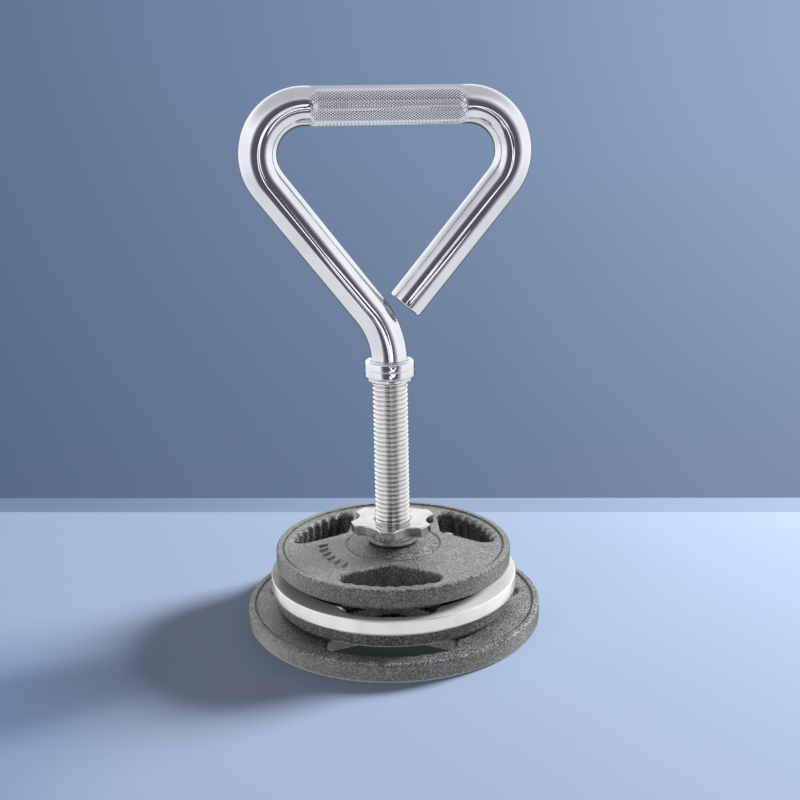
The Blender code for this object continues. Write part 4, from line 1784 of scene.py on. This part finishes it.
@dataclass(frozen=True)
class LineLamp:
    """The thin bent lamp beside the lens that draws the white line along the bar.

    It is thinner where it goes on down the stem.
    """

    width: float = 0.050
    drop: float = 0.12
    ahead: float = 0.01
    strength: float = 1.7
    stem: tuple[float, ...] = (0.12, 0.13, 0.14, 0.15, 0.16, 0.17)
    stem_width: float = 0.3
    widening: Flat = (0.165, 0.195)

    def mirrored(self, bar: HandleBar, place: Place, eye: Vector) -> Flat:
        """Find what the camera sees mirrored a little below the middle of the bar.

        Args:
            bar: The bar.
            place: The place along it.
            eye: The place of the lens.

        Returns:
            (x, z) of the spot beside the lens, in the plane of the lens.
        """
        x, z, heading, _ = place
        middle = Vector((x, 0.0, z))
        along = Vector((math.cos(heading), 0.0, math.sin(heading)))
        towards = eye - middle
        facing = (towards - along * towards.dot(along)).normalized()
        down = Vector((0.0, 0.0, -1.0))
        normal = (facing + (down - along * down.dot(along)) * self.drop).normalized()
        spot = middle + normal * bar.radius
        ray = (spot - eye).reflect(normal)
        reach = (eye.y - spot.y) / ray.y
        return (spot.x + ray.x * reach, spot.z + ray.z * reach)

    def build(self, bar: HandleBar, eye: Point) -> None:
        """Build the lamp.

        Args:
            bar: The bar that shows it.
            eye: The place of the lens.
        """
        before, after = bar.sides_of_grip()
        stem = [(0.0, height, QUARTER_TURN, 0.0) for height in self.stem]
        surface = Surface()
        rows: list[list[int]] = []
        for place in (*stem, *before, *after):
            x, z = self.mirrored(bar, place, Vector(eye))
            share = self.stem_width + (1 - self.stem_width) * between(*self.widening, place[1])
            half = self.width * share / 2
            across = (-math.sin(place[2]) * half, math.cos(place[2]) * half)
            points = [(x + across[0] * side, eye[1] + self.ahead, z + across[1] * side) for side in (-1, 1)]
            rows.append(surface.ring(points))
        surface.strip(rows)
        glow = GlowFinish("line_lamp").material(lambda graph: self.strength)
        show_in_metal_only(surface.piece("line_lamp"), glow)


@dataclass(frozen=True)
class Surroundings:
    """The world: a blue wall for the camera, a bright tent for metal and a soft light for the rest.

    The wall is darker on the left and low down. The tent is dimmer overhead and low down behind the object.
    """

    right: Point
    ahead: Point
    sides: Flat = (-0.36, 0.36)
    colours: tuple[tuple[float, Colour], ...] = (
        (0.0, (0.118, 0.175, 0.290)),
        (0.6, (0.207, 0.290, 0.447)),
        (1.0, (0.312, 0.415, 0.605)),
    )
    wall: Flat = (-0.40, 0.12)
    wall_foot: float = 0.80
    wall_foot_fall: float = -0.16
    tent: Flat = (-0.46, -0.02)
    tent_light: Flat = (0.92, 1.18)
    top: Flat = (0.40, 0.85)
    top_light: float = 0.52
    back: Flat = (math.cos(math.radians(42)), math.cos(math.radians(28)))
    back_rise: Flat = (0.04, 0.17)
    back_shade: float = 0.88
    rest: float = 0.125

    def backdrop(self, graph: Graph, way: Socket, rise: Socket) -> Socket:
        """Make the wall.

        Args:
            graph: The world's graph.
            way: The direction of the ray.
            rise: The upward part of it.

        Returns:
            The shader.
        """
        side = graph.span(graph.dot(way, self.right), *self.sides, steps="LINEAR")
        foot = graph.math("MULTIPLY_ADD", side, self.wall_foot_fall, self.wall_foot)
        strength = graph.span(rise, *self.wall, foot, 1.0)
        return graph.node("Background", Color=graph.ramp(side, self.colours), Strength=strength).outputs[0]

    def bright_tent(self, graph: Graph, way: Socket, rise: Socket) -> Socket:
        """Make the tent.

        Args:
            graph: The world's graph.
            way: The direction of the ray.
            rise: The upward part of it.

        Returns:
            The shader.
        """
        light = graph.span(rise, *self.tent, *self.tent_light)
        light = graph.math("MULTIPLY", light, graph.span(rise, *self.top, 1.0, self.top_light))
        behind = graph.span(graph.dot(way, self.ahead), *self.back)
        shade = graph.math("MULTIPLY", behind, graph.span(rise, *self.back_rise, self.back_shade, 0.0))
        light = graph.math("MULTIPLY", light, graph.math("SUBTRACT", 1.0, shade))
        return graph.node("Background", Color=WHITE, Strength=light).outputs[0]

    def build(self) -> None:
        """Build the world."""
        world = bpy.data.worlds.new("studio")
        bpy.context.scene.world = world
        world.use_nodes = True
        graph = Graph(world.node_tree)
        graph.tree.nodes.clear()
        way = graph.node("TexCoord").outputs["Generated"]
        rise = graph.rise(way)
        soft = graph.node("Background", Color=WHITE, Strength=self.rest).outputs[0]
        ray = graph.node("LightPath").outputs
        seen = graph.mixed(ray["Is Glossy Ray"], soft, self.bright_tent(graph, way, rise))
        seen = graph.mixed(ray["Is Camera Ray"], seen, self.backdrop(graph, way, rise))
        graph.node("OutputWorld", Surface=seen)


@dataclass
class Studio:
    """The camera of the photograph and what stands round the object."""

    eye: Point = (-0.14060525, -0.69989807, 0.34701006)
    right: Point = (0.97746138, -0.21045343, -0.01669158)
    up: Point = (0.06919136, 0.24465664, 0.96713788)
    ahead: Point = (0.19945378, 0.94649484, -0.25370398)
    lens: float = 47.865
    sensor: float = 36.0
    nearest: float = 0.01
    lamps: tuple[SoftLamp, ...] = (
        SoftLamp(
            name="key",
            place=(2.03, 0.54, 0.90),
            aim=(0.0, 0.0, 0.04),
            size=0.62,
            power=93.0,
            painted_foot_shade=(1.05, 1.62),
            painted_foot_shade_share=0.84,
        ),
        SoftLamp(
            name="fill",
            place=(-1.25, -0.85, 0.26),
            aim=(0.0, 0.0, 0.08),
            size=0.6,
            power=5.2,
            painted_foot_shade=(0.30, 0.85),
            painted_foot_shade_share=0.87,
        ),
    )

    def camera(self) -> None:
        """Place the camera at the photograph's viewing angle."""
        data = bpy.data.cameras.new("camera")
        data.lens = self.lens
        data.sensor_width = self.sensor
        data.clip_start = self.nearest
        obj = bpy.data.objects.new("camera", data)
        turned = Matrix((self.right, self.up, -Vector(self.ahead))).transposed()
        obj.matrix_world = Matrix.Translation(self.eye) @ turned.to_4x4()
        bpy.context.scene.collection.objects.link(obj)
        bpy.context.scene.camera = obj

    def build(self, bar: HandleBar) -> None:
        """Build the whole studio.

        Args:
            bar: The bar that the lights are made for.
        """
        bpy.context.scene.view_settings.view_transform = "Standard"
        self.camera()
        Surroundings(self.right, self.ahead).build()
        for lamp in self.lamps:
            lamp.build()
        Table().build(self.lamps)
        CameraCard().build(self.eye)
        LineLamp().build(bar, self.eye)
        LOG.info("built the studio")


# The whole object.


def weight_plates() -> list[tuple[WeightPlate, Finish, Slot]]:
    """Draw up the four plates.

    Returns:
        (plate, finish, slot) of each, from the top down.
    """
    small = HandHole(apex=0.041, outer=0.0725, corner=0.007)
    wide = HandHole(
        apex=0.041,
        outer=0.0775,
        corner=0.0125,
        rib_depth=0.0006,
        side_width=0.0032,
        side_drop=0.0030,
        grip_width=0.0066,
        grip_drop=0.0046,
    )
    large = HandHole(apex=0.049, outer=0.0900, corner=0.009)
    top = WeightPlate(
        name="top_weight_plate",
        node="top_plate",
        radius=0.0835,
        rim_bottom=0.0420,
        rim_top=0.0551,
        hub_bottom=0.0387,
        hub_top=0.0557,
        web_bottom=0.0431,
        hole=small,
        face_drop=0.0010,
        cone_radius=0.0176,
        moat=0.0009,
        rim_width=0.0080,
        skirt=0.0058,
        bars=tuple(RaisedBar(math.radians(azimuth)) for azimuth in range(172, 218, 9)),
    )
    bright = WeightPlate(
        name="bright_weight_plate",
        node="bright_plate",
        radius=0.0878,
        rim_bottom=0.0248,
        rim_top=0.0356,
        hub_bottom=0.0248,
        hub_top=0.0384,
        web_bottom=0.0278,
        hole=wide,
        rim_width=0.0070,
        edge=0.0016,
        foot_edge=0.0016,
    )
    thin = WeightPlate(
        name="thin_weight_plate",
        node="thin_plate",
        radius=0.0846,
        rim_bottom=0.0152,
        rim_top=0.0245,
        hub_bottom=0.0149,
        hub_top=0.0245,
        web_bottom=0.0177,
        hole=small,
        edge=0.0016,
        foot_edge=0.0016,
    )
    base = WeightPlate(
        name="base_weight_plate",
        node="base_plate",
        radius=0.1048,
        rim_bottom=0.0,
        rim_top=0.0138,
        hub_bottom=0.0100,
        hub_top=0.0146,
        web_bottom=0.0035,
        hub_radius=0.0410,
        hole=large,
        face_drop=0.0010,
        cone_radius=0.0300,
        moat=0.0008,
        rim_width=0.0125,
        edge=0.0020,
        foot_edge=0.0030,
        recess_radius=0.0345,
    )
    heavy = HammertoneFinish("heavy_hammertone", face_calm=1.0)
    return [
        (top, HammertoneFinish("hammertone"), Slot.HAMMERTONE),
        (bright, SatinFinish("satin_chrome"), Slot.POLISHED),
        (thin, heavy, Slot.HAMMERTONE),
        (base, heavy, Slot.HAMMERTONE),
    ]


def main() -> None:
    """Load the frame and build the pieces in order."""
    logging.basicConfig(level=logging.INFO, format="%(message)s")
    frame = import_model()
    bar = HandleBar()
    Studio().build(bar)
    # The grooves of the knurl and the roots of the thread are painted darker as shade.
    chrome = ChromeFinish(
        "chrome", along_bar=True, groove=(0.01206, 0.01224), groove_shade=(0.50, 0.54, 0.61)
    )
    thread_chrome = ChromeFinish(
        "thread_chrome",
        colour=(0.82, 0.81, 0.81),
        haze=(0.74, 0.73, 0.74),
        roughness=0.09,
        haze_roughness=0.18,
        groove=(0.0109, 0.0116),
    )
    nut_chrome = ChromeFinish(
        "nut_chrome", colour=(0.70, 0.70, 0.695), haze=(0.58, 0.58, 0.58), roughness=0.09, haze_roughness=0.22
    )
    rubber = RubberFinish("black_rubber")
    zinc = ZincFinish("zinc_plate")
    install(bar.build(), chrome, Body.ROOT, Slot.CHROME, "handle_bar")
    install(CollarRing().build(), ChromeFinish("collar_chrome"), Body.ROOT, Slot.CHROME, "collar_ring")
    install(ThreadedStem().build(), thread_chrome, Body.ROOT, Slot.THREAD, "threaded_stem")
    install(StarNut().build(), nut_chrome, Body.NUT, Slot.NUT_CHROME, "star_nut")
    install(SealRing().build(), rubber, Body.NUT_SEAL, Slot.RUBBER, "nut_seal_ring")
    for plate, finish, slot in weight_plates():
        install(plate.build(), finish, Body.ROOT, slot, plate.node)
    for node in ("base_flange", "end_washer", "end_screw"):
        dress_node(frame["nodes"][node], zinc)
    dress_node(frame["nodes"]["flange_pad"], rubber)


if __name__ == "__main__":
    main()
